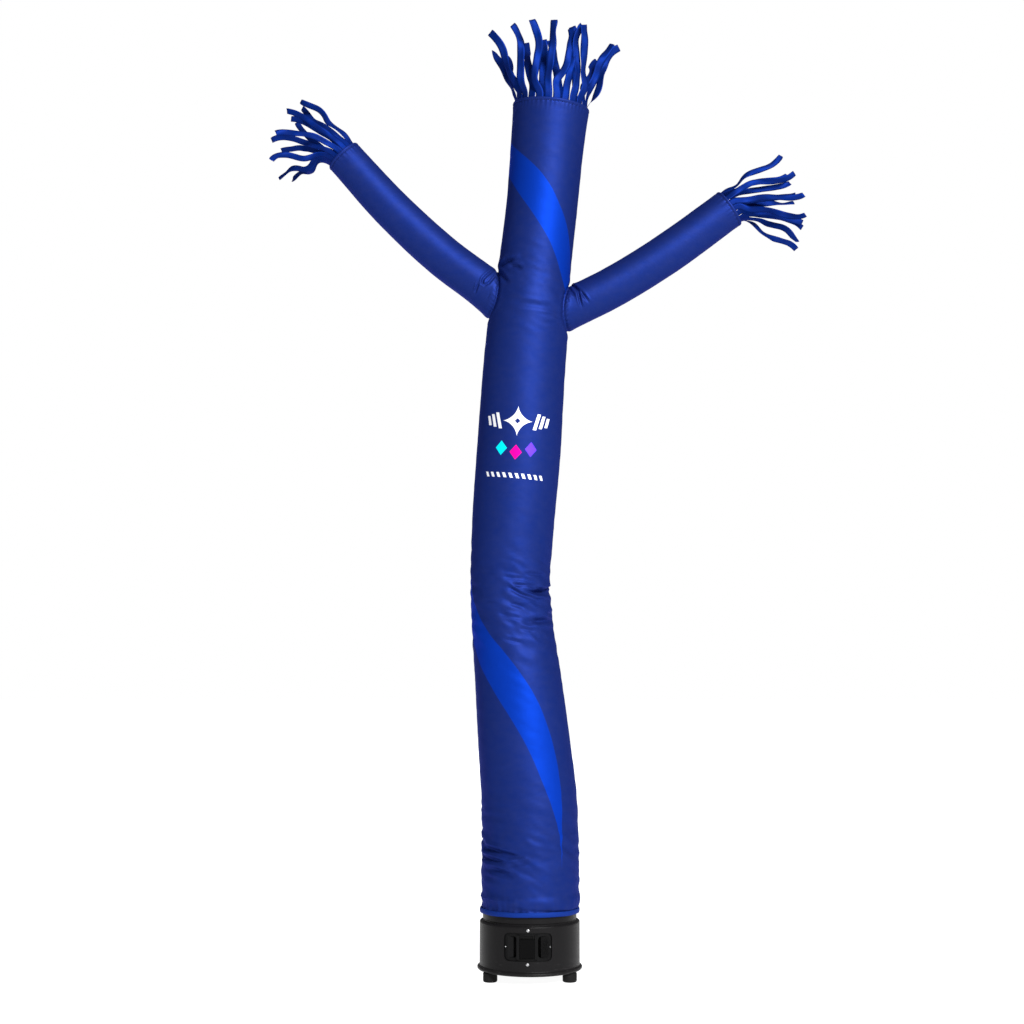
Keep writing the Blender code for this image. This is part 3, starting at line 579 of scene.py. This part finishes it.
leftSleeve = {
    "side": "left", "node": "arm_left", "flat": (0.4, 0.66),
    "sections": [(-0.060, 0.000, 2.048, 0.0665), (-0.139, 0.002, 2.119, 0.0655), (-0.270, 0.008, 2.220, 0.0645),
                 (-0.425, 0.014, 2.366, 0.0625), (-0.586, 0.018, 2.544, 0.0580)],
    "creases": [
        ([(0.112, 349), (0.116, 299), (0.117, 278), (0.112, 267), (0.101, 268), (0.096, 280), (0.099, 325)],
         3.2, 5.0, 2.4, 2.0, 0.12, 0.2),
        ([(0.121, 262), (0.11, 232)], 3.6, 4.4, 2.2, 1.2, 0.3, 0.3),
        ([(0.046, 264), (0.046, 246)], 2.6, 1.0, 0.4, 0.4, 0.4, 0.4),
        ([(0.071, 261), (0.07, 242)], 2.6, 1.0, 0.4, 0.4, 0.4, 0.4),
        ([(0.128, 60), (0.12, 120)], 4.0, 2.0, 0.8, 0.8, 0.4, 0.4)],
}
rightSleeve = {
    "side": "right", "node": "arm_right", "flat": (0.41, 0.63),
    "sections": [(0.060, -0.002, 2.022, 0.0650), (0.164, -0.004, 2.071, 0.0640), (0.256, -0.007, 2.117, 0.0635),
                 (0.415, -0.012, 2.214, 0.0630), (0.626, -0.018, 2.3665, 0.0615)],
    "creases": [
        ([(0.106, 180), (0.115, 242), (0.107, 270), (0.101, 300)], 3.8, 6.2, 3.0, 1.6, 0.2, 0.3),
        ([(0.11, 196), (0.124, 261), (0.131, 294)], 4.0, 5.0, 2.8, 1.4, 0.3, 0.3),
        ([(0.094, 206), (0.098, 262)], 3.8, 4.4, 2.2, 1.2, 0.4, 0.4),
        ([(0.074, 245), (0.074, 265)], 2.6, 0.9, 0.4, 0.4, 0.4, 0.4),
        ([(0.12, 70), (0.132, 130)], 4.0, 2.0, 0.8, 0.8, 0.4, 0.4)],
}
sleeveGrid = {"sides": 132, "rows": [(0.00, 0.2, 66), (0.2, 0.94, 66), (0.94, 1.00, 20)], "sunk": 0.007}
for cloth in (body, leftSleeve, rightSleeve):
    finishTube(cloth)


def pleatSwell(plain, along, angle):
    # pleats where the band gathers the cloth
    turn, pleats = np.radians(angle), body["pleats"]
    pleat = 0.35 * np.cos(41 * turn + 2.6 * np.sin(3 * turn)) + 1.5 * cloud(plain * (1.0, 1.0, 0.2), 52.0, 4.1)
    reach = pleats["reach"] + pleats["varies"] * np.cos(7 * turn + 2)
    faded = np.exp(-np.maximum(along - pleats["full"], 0) / reach)
    return np.where(along > pleats["from"], pleats["deep"] * pleat * faded, 0)


def rippleSwell(plain, along, angle):
    # soft ripples that slope down to the right
    ripples = body["ripples"]
    zones = [np.exp(-((along - height) / reach) ** 2) for height, reach in ripples["zones"]]
    # the waist is bent most at its front right
    zones[0] *= 0.35 + 0.65 * np.exp(-(((angle - 292 + 180) % 360 - 180) / 48) ** 2)
    sloped = plain + np.stack([0 * along, 0 * along, ripples["slope"] * plain[..., 0]], -1)
    swell = ripples["broad"] * cloud(plain * (1.0, 1.0, 0.55), 5.2, 8.3)
    for deep, stretch, scale, seed in ((ripples["soft"], 0.34, 44.0, 3.7), (ripples["fine"], 0.6, 61.0, 15.1)):
        wave = cloud(sloped * (stretch, stretch, 1.0), scale, seed)
        swell += wave * (deep[0] + sum(more * zone for more, zone in zip(deep[1:], zones)))
    return swell


def seamSwell(angle, radius):
    # the felled seam up the back
    away, seam = np.radians((angle - 90 + 180) % 360 - 180) * radius, body["seam"]
    edges = np.exp(-((abs(away) - stitching["seamApart"]) / 0.0022) ** 2)
    return seam["proud"] * np.exp(-(away / seam["half"]) ** 4) - seam["sunk"] * edges


def makeBody(finish):
    along, angle = np.meshgrid(tubeRows(body["rows"]), np.linspace(90, 450, body["sides"] + 1), indexing="ij")
    plain = tubePoints(body, along, angle, np.zeros(along.shape))
    radius = tubeFrame(body, along)[1]
    swell = creaseSwell(body, along, angle) + hemSwell(body, along, angle) + pleatSwell(plain, along, angle)
    swell += rippleSwell(plain, along, angle) + seamSwell(angle, radius)
    # the seams round the sleeves are sunk, and the cloth inside them is cut out
    keep, armhole = np.ones(along.shape, bool), body["armhole"]
    for sleeve in (leftSleeve, rightSleeve):
        reach, outside = tubePlace(sleeve, plain)
        beyond = reach > armhole["from"]
        rounded = armhole["proud"] * np.exp(-((outside - 0.016) / 0.007) ** 2)
        swell += np.where(beyond, rounded - armhole["sunk"] * np.exp(-(outside / 0.0065) ** 2), 0)
        keep &= ~(beyond & (outside < -armhole["cut"]))
    # the rows under the band stay round, with a tuck over it that never passes inside the blower's neck
    tuck = body["tuck"]
    swell *= ease((along - tuck["from"]) / tuck["over"])
    swell -= tuck["deep"] * np.exp(-((along - tuck["height"]) / tuck["half"]) ** 2)
    swell = np.where(along < tuck["neckTop"], np.maximum(swell, tuck["neckRadius"] - radius), swell)
    along, angle, swell = hemRolled(along, angle, swell)
    keep = np.vstack([keep[:-1] & keep[1:]] + [np.ones((len(hem["roll"]), keep.shape[1]), bool)])
    made = tubeObject("tube_cloth", body, along, angle, swell, 90, finish, keep[:, :-1] & keep[:, 1:])
    return place(made, "navy_cloth", "body_tube")


def sleeveStart(sleeve, angle):
    # how far along the sleeve each of its lengthwise lines leaves the body
    along = np.linspace(0, 0.2, 161)
    grid, turns = np.meshgrid(along, angle, indexing="ij")
    points = tubePoints(sleeve, grid, turns, np.zeros(grid.shape))
    outside = tubePlace(body, points)[1]
    last = np.array([np.where(column < 0)[0][-1] for column in outside.T])
    columns = np.arange(len(angle))
    low, high = outside[last, columns], outside[last + 1, columns]
    return along[last] + (along[1] - along[0]) * -low / (high - low)


def makeSleeve(sleeve, finish):
    angle = np.linspace(0, 360, sleeveGrid["sides"] + 1)
    start, end, sunk = sleeveStart(sleeve, angle), sleeve["along"][-1], sleeveGrid["sunk"]
    share = tubeRows(sleeveGrid["rows"])[:, None]
    along = (start - sunk) + (end - start + sunk) * share
    angle = np.tile(angle, (len(share), 1))
    plain = tubePoints(sleeve, along, angle, np.zeros(along.shape))
    swell = creaseSwell(sleeve, along, angle) + hemSwell(sleeve, along, angle)
    root, turn = along - start, np.radians(angle)
    near = np.exp(-np.maximum(root, 0) / 0.03)
    ripple = cloud(plain * (1.0, 1.0, 0.8), 30.0, 21.4)
    swell += 0.0005 * cloud(plain, 8.0, 5.5) + ripple * (0.0003 + 0.0011 * near)
    # gathered into the sunk armhole seam, and proud beyond it
    swell += 0.0009 * np.cos(31 * turn + 1.7 * np.sin(3 * turn)) * np.exp(-((root - 0.006) / 0.008) ** 2)
    swell += 0.001 * np.exp(-((root - 0.017) / 0.008) ** 2) - 0.0036 * np.exp(-(root / 0.005) ** 2)
    along, angle, swell = hemRolled(along, angle, swell)
    made = tubeObject(f"sleeve_{sleeve['side']}_cloth", sleeve, along, angle, swell, 0, finish)
    return place(made, "navy_cloth", sleeve["node"])


def threadFinish():
    shop = newFinish("thread", {"Specular IOR Level": 0.1})
    ply = shop.grain(shop.room(), 1400.0)
    shop.feed({"Base Color": shop.mix(ply, stitching["colour"], nylon["navy"]), "Roughness": 0.48 + ply * 0.14,
               "Normal": shop.bump(ply, 0.0001, 0.5)})
    return shop.owner


def stitchRow(name, tube, along, angle, proud, finish):
    # short raised threads, one after the other along a path on the cloth
    path = tubePoints(tube, along, angle, np.full(along.shape, proud))
    outward = path - tubeFrame(tube, along)[0]
    lengths = np.concatenate(([0.0], np.cumsum(np.linalg.norm(np.diff(path, axis=0), axis=1))))
    count = int(lengths[-1] / stitching["pitch"])
    reach, thick, points, faces = stitching["pitch"] * stitching["share"], stitching["thread"], [], []
    # how far along, how thick and how far up each ring of a thread is
    rings = [(-1.0, 0.35, -0.25), (-0.55, 0.95, 0.25), (0.55, 0.95, 0.25), (1.0, 0.35, -0.25)]
    for middle in (np.arange(count) + 0.5) * lengths[-1] / count:
        at, ahead, up = (np.array([np.interp(middle + more, lengths, line[:, k]) for k in range(3)])
                         for more, line in ((0, path), (0.0005, path), (0, outward)))
        way, up = (ahead - at) / np.linalg.norm(ahead - at), up / np.linalg.norm(up)
        across = np.cross(way, up)
        faces += rodFaces(len(points), len(rings))
        for far, wide, rise in rings:
            for turn in rodTurns:
                aside = across * math.cos(turn) + up * (0.6 * math.sin(turn) + rise)
                points.append(at + way * reach * far + aside * thick * wide)
    return place(meshObject(name, points, faces, finish), "navy_cloth")


def hemStitches(tube, name, finish):
    angle = np.linspace(0, 360, 361)
    return stitchRow(name, tube, np.full(angle.shape, tube["along"][-1] - hem["stitch"]), angle, -0.0003, finish)


def seamStitches(away, name, finish):
    # one line of stitches up the back seam, at this distance from its middle
    along = np.linspace(0.222, 2.668, 490)
    return stitchRow(name, body, along, 90 + np.degrees(away / tubeFrame(body, along)[1]), -0.0002, finish)


def armholeStitches(sleeve, name, finish):
    angle = np.linspace(0, 360, 241)
    return stitchRow(name, sleeve, sleeveStart(sleeve, angle) + 0.0095, angle, 0.0003, finish)


tube = makeBody(bodyNavy)
sleevePieces = [makeSleeve(sleeve, sleeveNavy) for sleeve in (leftSleeve, rightSleeve)]
print("tube and sleeves made, tube of", len(tube.data.polygons), "faces")
thread = threadFinish()
tubeStitches = [hemStitches(body, "head_hem_stitches", thread),
                seamStitches(-stitching["seamApart"], "back_seam_stitches_a", thread),
                seamStitches(stitching["seamApart"], "back_seam_stitches_b", thread)]
for piece, sleeve in zip(sleevePieces, (leftSleeve, rightSleeve)):
    rows = [hemStitches(sleeve, f"{sleeve['side']}_hem_stitches", thread),
            armholeStitches(sleeve, f"{sleeve['side']}_armhole_stitches", thread)]
print("stitched")

# the header ring that the streamers of a fringe hang from, under the rim
header = {"drop": 0.01, "depth": 0.026, "inset": 0.0064, "rows": 6}
# places: how many streamers fit round the ring
# strips: place, its lean sideways at the last five of these shares, its lean back and its turn, in degrees
leanShares = (0.0, 0.04, 0.16, 0.36, 0.58, 0.8, 1.0)
ribbon = {"steps": 80, "thick": 0.0006, "wring": 17, "flutter": 0.002, "quiver": 0.001, "cup": 0.0016,
          "curl": 0.0005, "snip": 0.0016}
headFringe = {
    "places": 26, "turn": -6, "length": 0.256, "width": 0.0255, "flat": (0.71, 0.282), "area": 0.12,
    "strips": [
        (0, 34, 12, 6, 26, 58, 10, 135), (3, -18, -2, -2, -8, -10, 20, 45),
        (5, -16, -14, -16, -18, -20, -19, 40), (8, 10, -4, -2, -2, -18, -1, -40),
        (10, -24, -30, -26, -24, -18, 35, -60), (13, -32, -20, -26, -32, -18, 37, 135),
        (14, -12, -30, -6, -24, -62, 47, -135), (15, -26, -38, -14, -36, -56, 7, 55),
        (16, -30, -4, -4, -20, -46, 5, 80), (17, -10, -16, -10, -10, -12, 40, 30),
        (18, -34, 4, 4, -22, -34, -4, 30), (19, -10, 2, 4, -4, -2, 2, -20), (20, -12, 34, 2, 6, -28, 11, -15),
        (21, 2, 6, 0, -2, -20, 12, -30), (22, 8, 0, -14, 0, 40, 1, -5), (23, 22, -14, -4, -4, -8, -10, -30),
        (24, -12, 24, 4, 14, 42, 47, -45), (25, 2, 20, 10, 26, 30, 17, -110)],
}
leftFringe = {
    "places": 17, "turn": 0, "length": 0.24, "width": 0.0195, "flat": (0.324, 0.266), "area": 0.053,
    "strips": [
        (2, -12, -16, -14, -20, -50, 2, 30), (4, -18, -14, -4, 4, 14, 20, 5),
        (6, 4, -24, -28, -46, -52, 29, -125), (8, -22, -112, 0, -76, -36, 52, 135),
        (9, -14, -108, -26, -68, -84, 31, 110), (10, -32, -78, -40, -66, -122, -36, 60),
        (11, -22, -28, -26, -38, -82, 13, 0), (12, -18, -24, -54, -54, -68, -34, 30),
        (13, -4, -16, -8, -20, -36, 7, -40), (14, -10, -8, -16, 6, 4, 25, -55),
        (15, 2, -14, 14, -24, -14, 9, -110)],
}
rightFringe = {
    "places": 17, "turn": 0, "length": 0.24, "width": 0.0195, "flat": (0.345, 0.266), "area": 0.058,
    "strips": [
        (0, 54, 82, 44, 48, 84, 28, 130), (4, 22, 30, 24, 34, 30, 17, -50), (5, 36, 26, 32, 34, 16, -10, -60),
        (6, 16, 22, 28, 26, 6, 3, -60), (7, 24, 4, 28, 32, -12, 0, -70), (9, 10, -10, 18, 6, -22, 2, 90),
        (11, 2, 8, 40, 22, -6, -5, 65), (12, 36, 26, 42, 38, 8, -10, 5), (13, 58, 36, 60, 52, 10, -17, 20),
        (14, 46, 28, 48, 46, 44, 26, -30), (15, 30, 38, 38, 54, 68, 26, -50),
        (16, 42, 62, 58, 94, 96, -34, -135)],
}


def rimFrame(tube):
    return [Vector(v) if np.ndim(v) else float(v) for v in tubeFrame(tube, tube["along"][-1])]


def ringAt(rim, fringe, turn):
    # outward and sideways directions on the header ring, turned this far round it
    _, _, side, depth, axis = rim
    turned = Quaternion(axis, math.radians(fringe["turn"]))
    side, depth = turned @ side, turned @ depth
    return side * math.cos(turn) + depth * math.sin(turn), depth * math.cos(turn) - side * math.sin(turn)


def headerRows(rim, fringe):
    top, middle, axis = rim[0] - rim[4] * header["drop"], rim[1] - header["inset"], rim[4]
    sides, rows = fringe["places"], []
    for k in range(header["rows"] + 1):
        down = axis * header["depth"] * (header["rows"] - k) / header["rows"]
        row = []
        for turn in (2 * math.pi * c / (sides * 6) for c in range(sides * 6)):
            wave = 0.0005 * math.cos(sides * turn + math.pi) - 0.0003 * math.sin(3 * turn + k)
            row.append(top - down + ringAt(rim, fringe, turn)[0] * (middle + wave))
        rows.append(row)
    return rows


def ribbonWay(rim, strip, share):
    side, depth, axis = rim[2:]
    lean = math.radians(float(smoothCurve(leanShares, (0.0, 0.0) + strip[1:6], share)))
    back = math.radians(strip[6] * float(ease((share - 0.05) / 0.5)))
    return (axis * math.cos(lean) + side * math.sin(lean)) * math.cos(back) + depth * math.sin(back)


def ribbonRow(at, way, width, half, turn, share, seed):
    # five places across a streamer, which is wrung and fluttering where it is loose, and snipped off at an angle
    loose = float(ease(share / 0.25))
    wring = ribbon["wring"] * float(ease(share / 0.3)) * math.sin(13 * share + 3 * seed)
    wring = turn * max(0.0, share - 0.05) + wring
    flatWay = Quaternion(way, math.radians(wring)) @ width
    face = flatWay.cross(way)
    flutter = ribbon["flutter"] * loose * math.sin(10 * share + seed)
    flutter += ribbon["quiver"] * loose * math.sin(24 * share + 2 * seed)
    cup = ribbon["cup"] * loose * math.sin(5 * share + 1.3 * seed)
    half *= (1 - 0.05 * loose) * (1 - 0.1 * float(ease((share - 0.97) / 0.03)))
    row = []
    for q in (-1, -0.5, 0, 0.5, 1):
        curl = ribbon["curl"] * loose * q ** 3 * math.sin(17 * share + seed)
        snip = ribbon["snip"] * q * math.sin(seed) * float(ease((share - 0.9) / 0.1))
        row.append(at + flatWay * half * q + face * (flutter + cup * (1 - q * q) + curl) + way * snip)
    return row


def ribbonRows(rim, fringe, strip):
    axis, sides, steps = rim[4], fringe["places"], ribbon["steps"]
    seed = strip[0] * 1.7 + len(fringe["strips"])
    out, width = ringAt(rim, fringe, 2 * math.pi * (strip[0] + 0.5) / sides)
    at = rim[0] - axis * header["drop"] + out * (rim[1] - header["inset"]) * math.cos(math.pi / sides)
    way, rows = axis.copy(), []
    for k in range(steps + 1):
        newWay = ribbonWay(rim, strip, k / steps)
        width = way.rotation_difference(newWay) @ width
        way = newWay
        if k % 2 == 0:
            rows.append(ribbonRow(at, way, width, fringe["width"] / 2, strip[7], k / steps, seed))
        at = at + way * (fringe["length"] / steps)
    return [[p - axis * header["depth"] * 0.6 for p in rows[0]]] + rows


def makeFringe(name, node, tube, fringe, finish):
    rim, points, faces, places = rimFrame(tube), [], [], []
    grids = [(headerRows(rim, fringe), True)]
    grids += [(ribbonRows(rim, fringe, strip), False) for strip in fringe["strips"]]
    for rows, closed in grids:
        first, wide = len(points), len(rows[0])
        points.extend(p for row in rows for p in row)
        for r in range(len(rows) - 1):
            for c in range(wide if closed else wide - 1):
                a, b = first + r * wide + c, first + r * wide + (c + 1) % wide
                faces.append((a, b, b + wide, a + wide))
                left, right, low, high = c / wide, (c + 1) / wide, r / 300, (r + 1) / 300
                places.extend([(left, low), (right, low), (right, high), (left, high)])
    made = meshObject(name, points, faces, finish, places)
    thick = made.modifiers.new("thick", "SOLIDIFY")
    thick.thickness, thick.offset = ribbon["thick"], 0
    return place(made, "blue_cloth", node)


for name, node, carrier, fringe, under in (
        ("head_streamers", "head_fringe", body, headFringe, tube),
        ("left_streamers", "hand_fringe_left", leftSleeve, leftFringe, sleevePieces[0]),
        ("right_streamers", "hand_fringe_right", rightSleeve, rightFringe, sleevePieces[1])):
    piece = makeFringe(name, node, carrier, fringe, streamerBlue)
print("streamers made")

band = {"low": 0.1965, "high": 0.211, "inner": 0.1474, "outer": 0.1508, "lift": 0.003, "crown": 0.0012,
        "lap": 0.0011, "steps": 240, "flat": (0.94, 0.0165), "colour": (0.007, 0.028, 0.2), "ribs": 430,
        "lines": 0.0022}


def bandFinish():
    shop = newFinish("webbing", {"Metallic": 0.35, "Specular IOR Level": 0.08, "Specular Tint": (0.1, 0.2, 0.6)})
    room = shop.room()
    turn = shop.split(shop.node("ShaderNodeUVMap", {"uv_map": "cloth"}))[0]
    height = shop.split(room)[2]
    ribs = (turn * (2 * math.pi * band["ribs"]) + (height * 2600).math("SINE") * 1.2).math("SINE")
    lines = (height * (2 * math.pi / band["lines"])).math("SINE")
    speckle = shop.grain(room, 420.0)
    shop.feed({"Base Color": shop.dye(band["colour"], 0.86 + speckle * 0.2 + ribs * 0.04),
               "Roughness": 0.5 + speckle * 0.1, "Normal": shop.bump(ribs * 0.5 + lines * 0.4, 0.0003, 0.6)})
    return shop.owner


def makeBand(finish):
    # woven webbing: a closed strip with rounded edges, lapped at the back
    steps, points, faces, places = band["steps"], [], [], []
    low, high, inner, outer, crown = (band[k] for k in ("low", "high", "inner", "outer", "crown"))
    middle, half, inset = (low + high) / 2, (high - low) / 2, 0.0006
    edge = [(inner, low + inset), (inner, high - inset), (inner + inset, high)]
    edge += [(outer + crown * (1 - q * q) - 0.001 * q ** 8, middle - half * q)
             for q in (-1, -0.9, -0.7, -0.35, 0, 0.35, 0.7, 0.9, 1)]
    edge.append((inner + inset, low))
    for k in range(steps):
        turn = 2 * math.pi * k / steps
        lap = band["lap"] * float(ease((math.radians(13) - abs(turn - math.pi / 2)) / 0.02))
        sag = band["lift"] * max(0.0, -math.sin(turn))
        sag += 0.00035 * math.sin(4 * turn + 1) + 0.0002 * math.sin(11 * turn)
        for radius, height in edge:
            far = radius + (lap if radius > inner + 0.001 else 0)
            points.append((far * math.cos(turn), far * math.sin(turn), height + sag))
    wide = len(edge)
    for k in range(steps):
        for c in range(wide):
            here, after, beyond = k * wide, (k + 1) % steps * wide, (c + 1) % wide
            faces.append((here + beyond, after + beyond, after + c, here + c))
            start, end, low, high = k / steps, (k + 1) / steps, c / wide, (c + 1) / wide
            places.extend([(start, high), (end, high), (end, low), (start, low)])
    return place(meshObject("band_webbing", points, faces, finish, places), "band_cloth", "base_band")


makeBand(bandFinish())
print("band made")

# plastics: colour, the colour it is rubbed to, pores to the metre, their depth, roughness, gloss
blower = {
    "housing": ((0.0059, 0.0056, 0.006), (0.1, 0.1, 0.1), 900.0, 0.0004, 0.28, 0.08),
    "plate": ((0.0034, 0.0034, 0.0036), (0.02, 0.02, 0.02), 1500.0, 0.0002, 0.34, 0.07),
    "block": ((0.0012, 0.0012, 0.0013), (0.02, 0.02, 0.02), 1200.0, 0.0002, 0.26, 0.05),
    "rubber": ((0.0026, 0.0026, 0.0027), (0.03, 0.03, 0.03), 700.0, 0.0004, 0.62, 0.09),
    "dust": (0.09, 0.085, 0.08), "steel": (0.46, 0.46, 0.47), "steelDull": (0.36, 0.36, 0.37)}
# the wire mesh over the right pocket of the side panel: where it is, its window and its wires
pocketMesh = {"across": 0.0461, "in": 0.0034, "width": 0.03, "height": 0.062, "corner": 0.006, "pitch": 0.0052,
              "wire": 0.00045, "apart": 0.0003}


def roundedNormal(shop, room):
    # the normal of a true cylinder about the blower's axis, on the flats that stand for one
    facing = shop.split(shop.node("ShaderNodeNewGeometry", output="Normal"))
    x, y, _ = shop.split(room)
    x, y = x - blowerAxis.x, y - blowerAxis.y
    far = (x * x + y * y) ** 0.5 + 1e-6
    flat = (facing[0] * facing[0] + facing[1] * facing[1]) ** 0.5 + 1e-6
    near = (x * facing[0] + y * facing[1]) / (far * flat)
    curved = shop.join(x / far * flat, y / far * flat, facing[2])
    return shop.mix(shop.ramp(near, 0.997, 0.9978), shop.join(*facing), curved)


def plasticFinish(name, looks, turned=False):
    # moulded plastic with a fine texture, paler where it has been rubbed
    base, rubbed, pits, depth, low, gloss = looks
    shop = newFinish(name, {"Specular IOR Level": gloss})
    room = shop.room()
    height = shop.split(room)[2]
    pores = shop.node("ShaderNodeTexVoronoi", {"feature": "SMOOTH_F1"},
                      {"Vector": room, "Scale": pits, "Smoothness": 0.6})
    cloudy, scratch = shop.grain(room, 14.0, 4.0), shop.grain(shop.spread(room, 30, 30, 420), 1.0, 3.0)
    worn = shop.ramp(scratch, 0.6, 0.78) * shop.ramp(cloudy, 0.45, 0.65)
    worn = worn * shop.ramp(height, 0.1, 0.02, 0.25, 1.0)
    tint = shop.mix(worn * 0.5, shop.mix(cloudy, base, tuple(c * 1.25 for c in base)), rubbed)
    dust = shop.ramp(height, 0.012, 0.055, 0.08, 0.0) * cloudy
    under = roundedNormal(shop, room) if turned else None
    shop.feed({"Base Color": shop.mix(dust, tint, blower["dust"]), "Roughness": low + cloudy * 0.16 + worn * 0.15,
               "Normal": shop.bump(pores, depth, 0.55, shop.bump(scratch, 0.0001, 0.2, under))})
    return shop.owner


def steelFinish():
    shop = newFinish("screw_steel", {"Metallic": 1.0})
    room = shop.room()
    brush, cloudy = shop.grain(shop.spread(room, 60, 60, 900), 1.0, 2.0), shop.grain(room, 180.0, 3.0)
    shop.feed({"Base Color": shop.mix(cloudy, blower["steel"], blower["steelDull"]),
               "Roughness": 0.24 + cloudy * 0.2, "Normal": shop.bump(brush, 0.0001, 0.3)})
    return shop.owner


def finishNodes(finishes):
    for name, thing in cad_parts.items():
        for words, finish in finishes.items():
            if name.startswith(words):
                for slot in thing.material_slots:
                    slot.material = finish


def meshWires():
    # the ends and the slope of each wire, that run both ways across a window with cut corners
    wide, tall, corner, wires = pocketMesh["width"] / 2, pocketMesh["height"] / 2, pocketMesh["corner"], []
    for slope in (1, -1):
        start = -wide - tall
        while start < wide + tall:
            run = [(start + tall + slope * z, z) for z in np.linspace(-tall, tall, 63)]
            run = [(x, z) for x, z in run
                   if abs(x) <= wide and (abs(x) < wide - corner or abs(z) < tall - corner)]
            if len(run) > 1:
                wires.append((run[0], run[-1], slope))
            start += pocketMesh["pitch"]
    return wires


def makePocketMesh(finish):
    low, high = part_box("side_panel")
    centre = Vector((pocketMesh["across"], low.y + pocketMesh["in"] - blowerAxis.y, (low.z + high.z) / 2))
    points, faces = [], []
    for start, end, slope in meshWires():
        way = Vector((end[0] - start[0], 0, end[1] - start[1])).normalized()
        across, deep = Vector((way.z, 0, -way.x)), Vector((0, 1, 0))
        faces += rodFaces(len(points), 2)
        for x, z in (start, end):
            at = centre + Vector((x, pocketMesh["apart"] * slope, z))
            points += [at + (across * math.cos(turn) + deep * math.sin(turn)) * pocketMesh["wire"]
                       for turn in rodTurns]
    return place(meshObject("pocket_mesh", points, faces, finish, smooth=False), "dark_plate")


plate, steel = plasticFinish("plate_plastic", blower["plate"]), steelFinish()
finishNodes({"blower_housing": plasticFinish("housing_plastic", blower["housing"], turned=True),
             "side_panel": plate, "intake_guard": plate,
             "panel_block": plasticFinish("block_plastic", blower["block"]),
             "housing_screw": steel, "plate_screw": steel,
             "foot": plasticFinish("foot_rubber", blower["rubber"])})
makePocketMesh(plate)
print("blower finished")
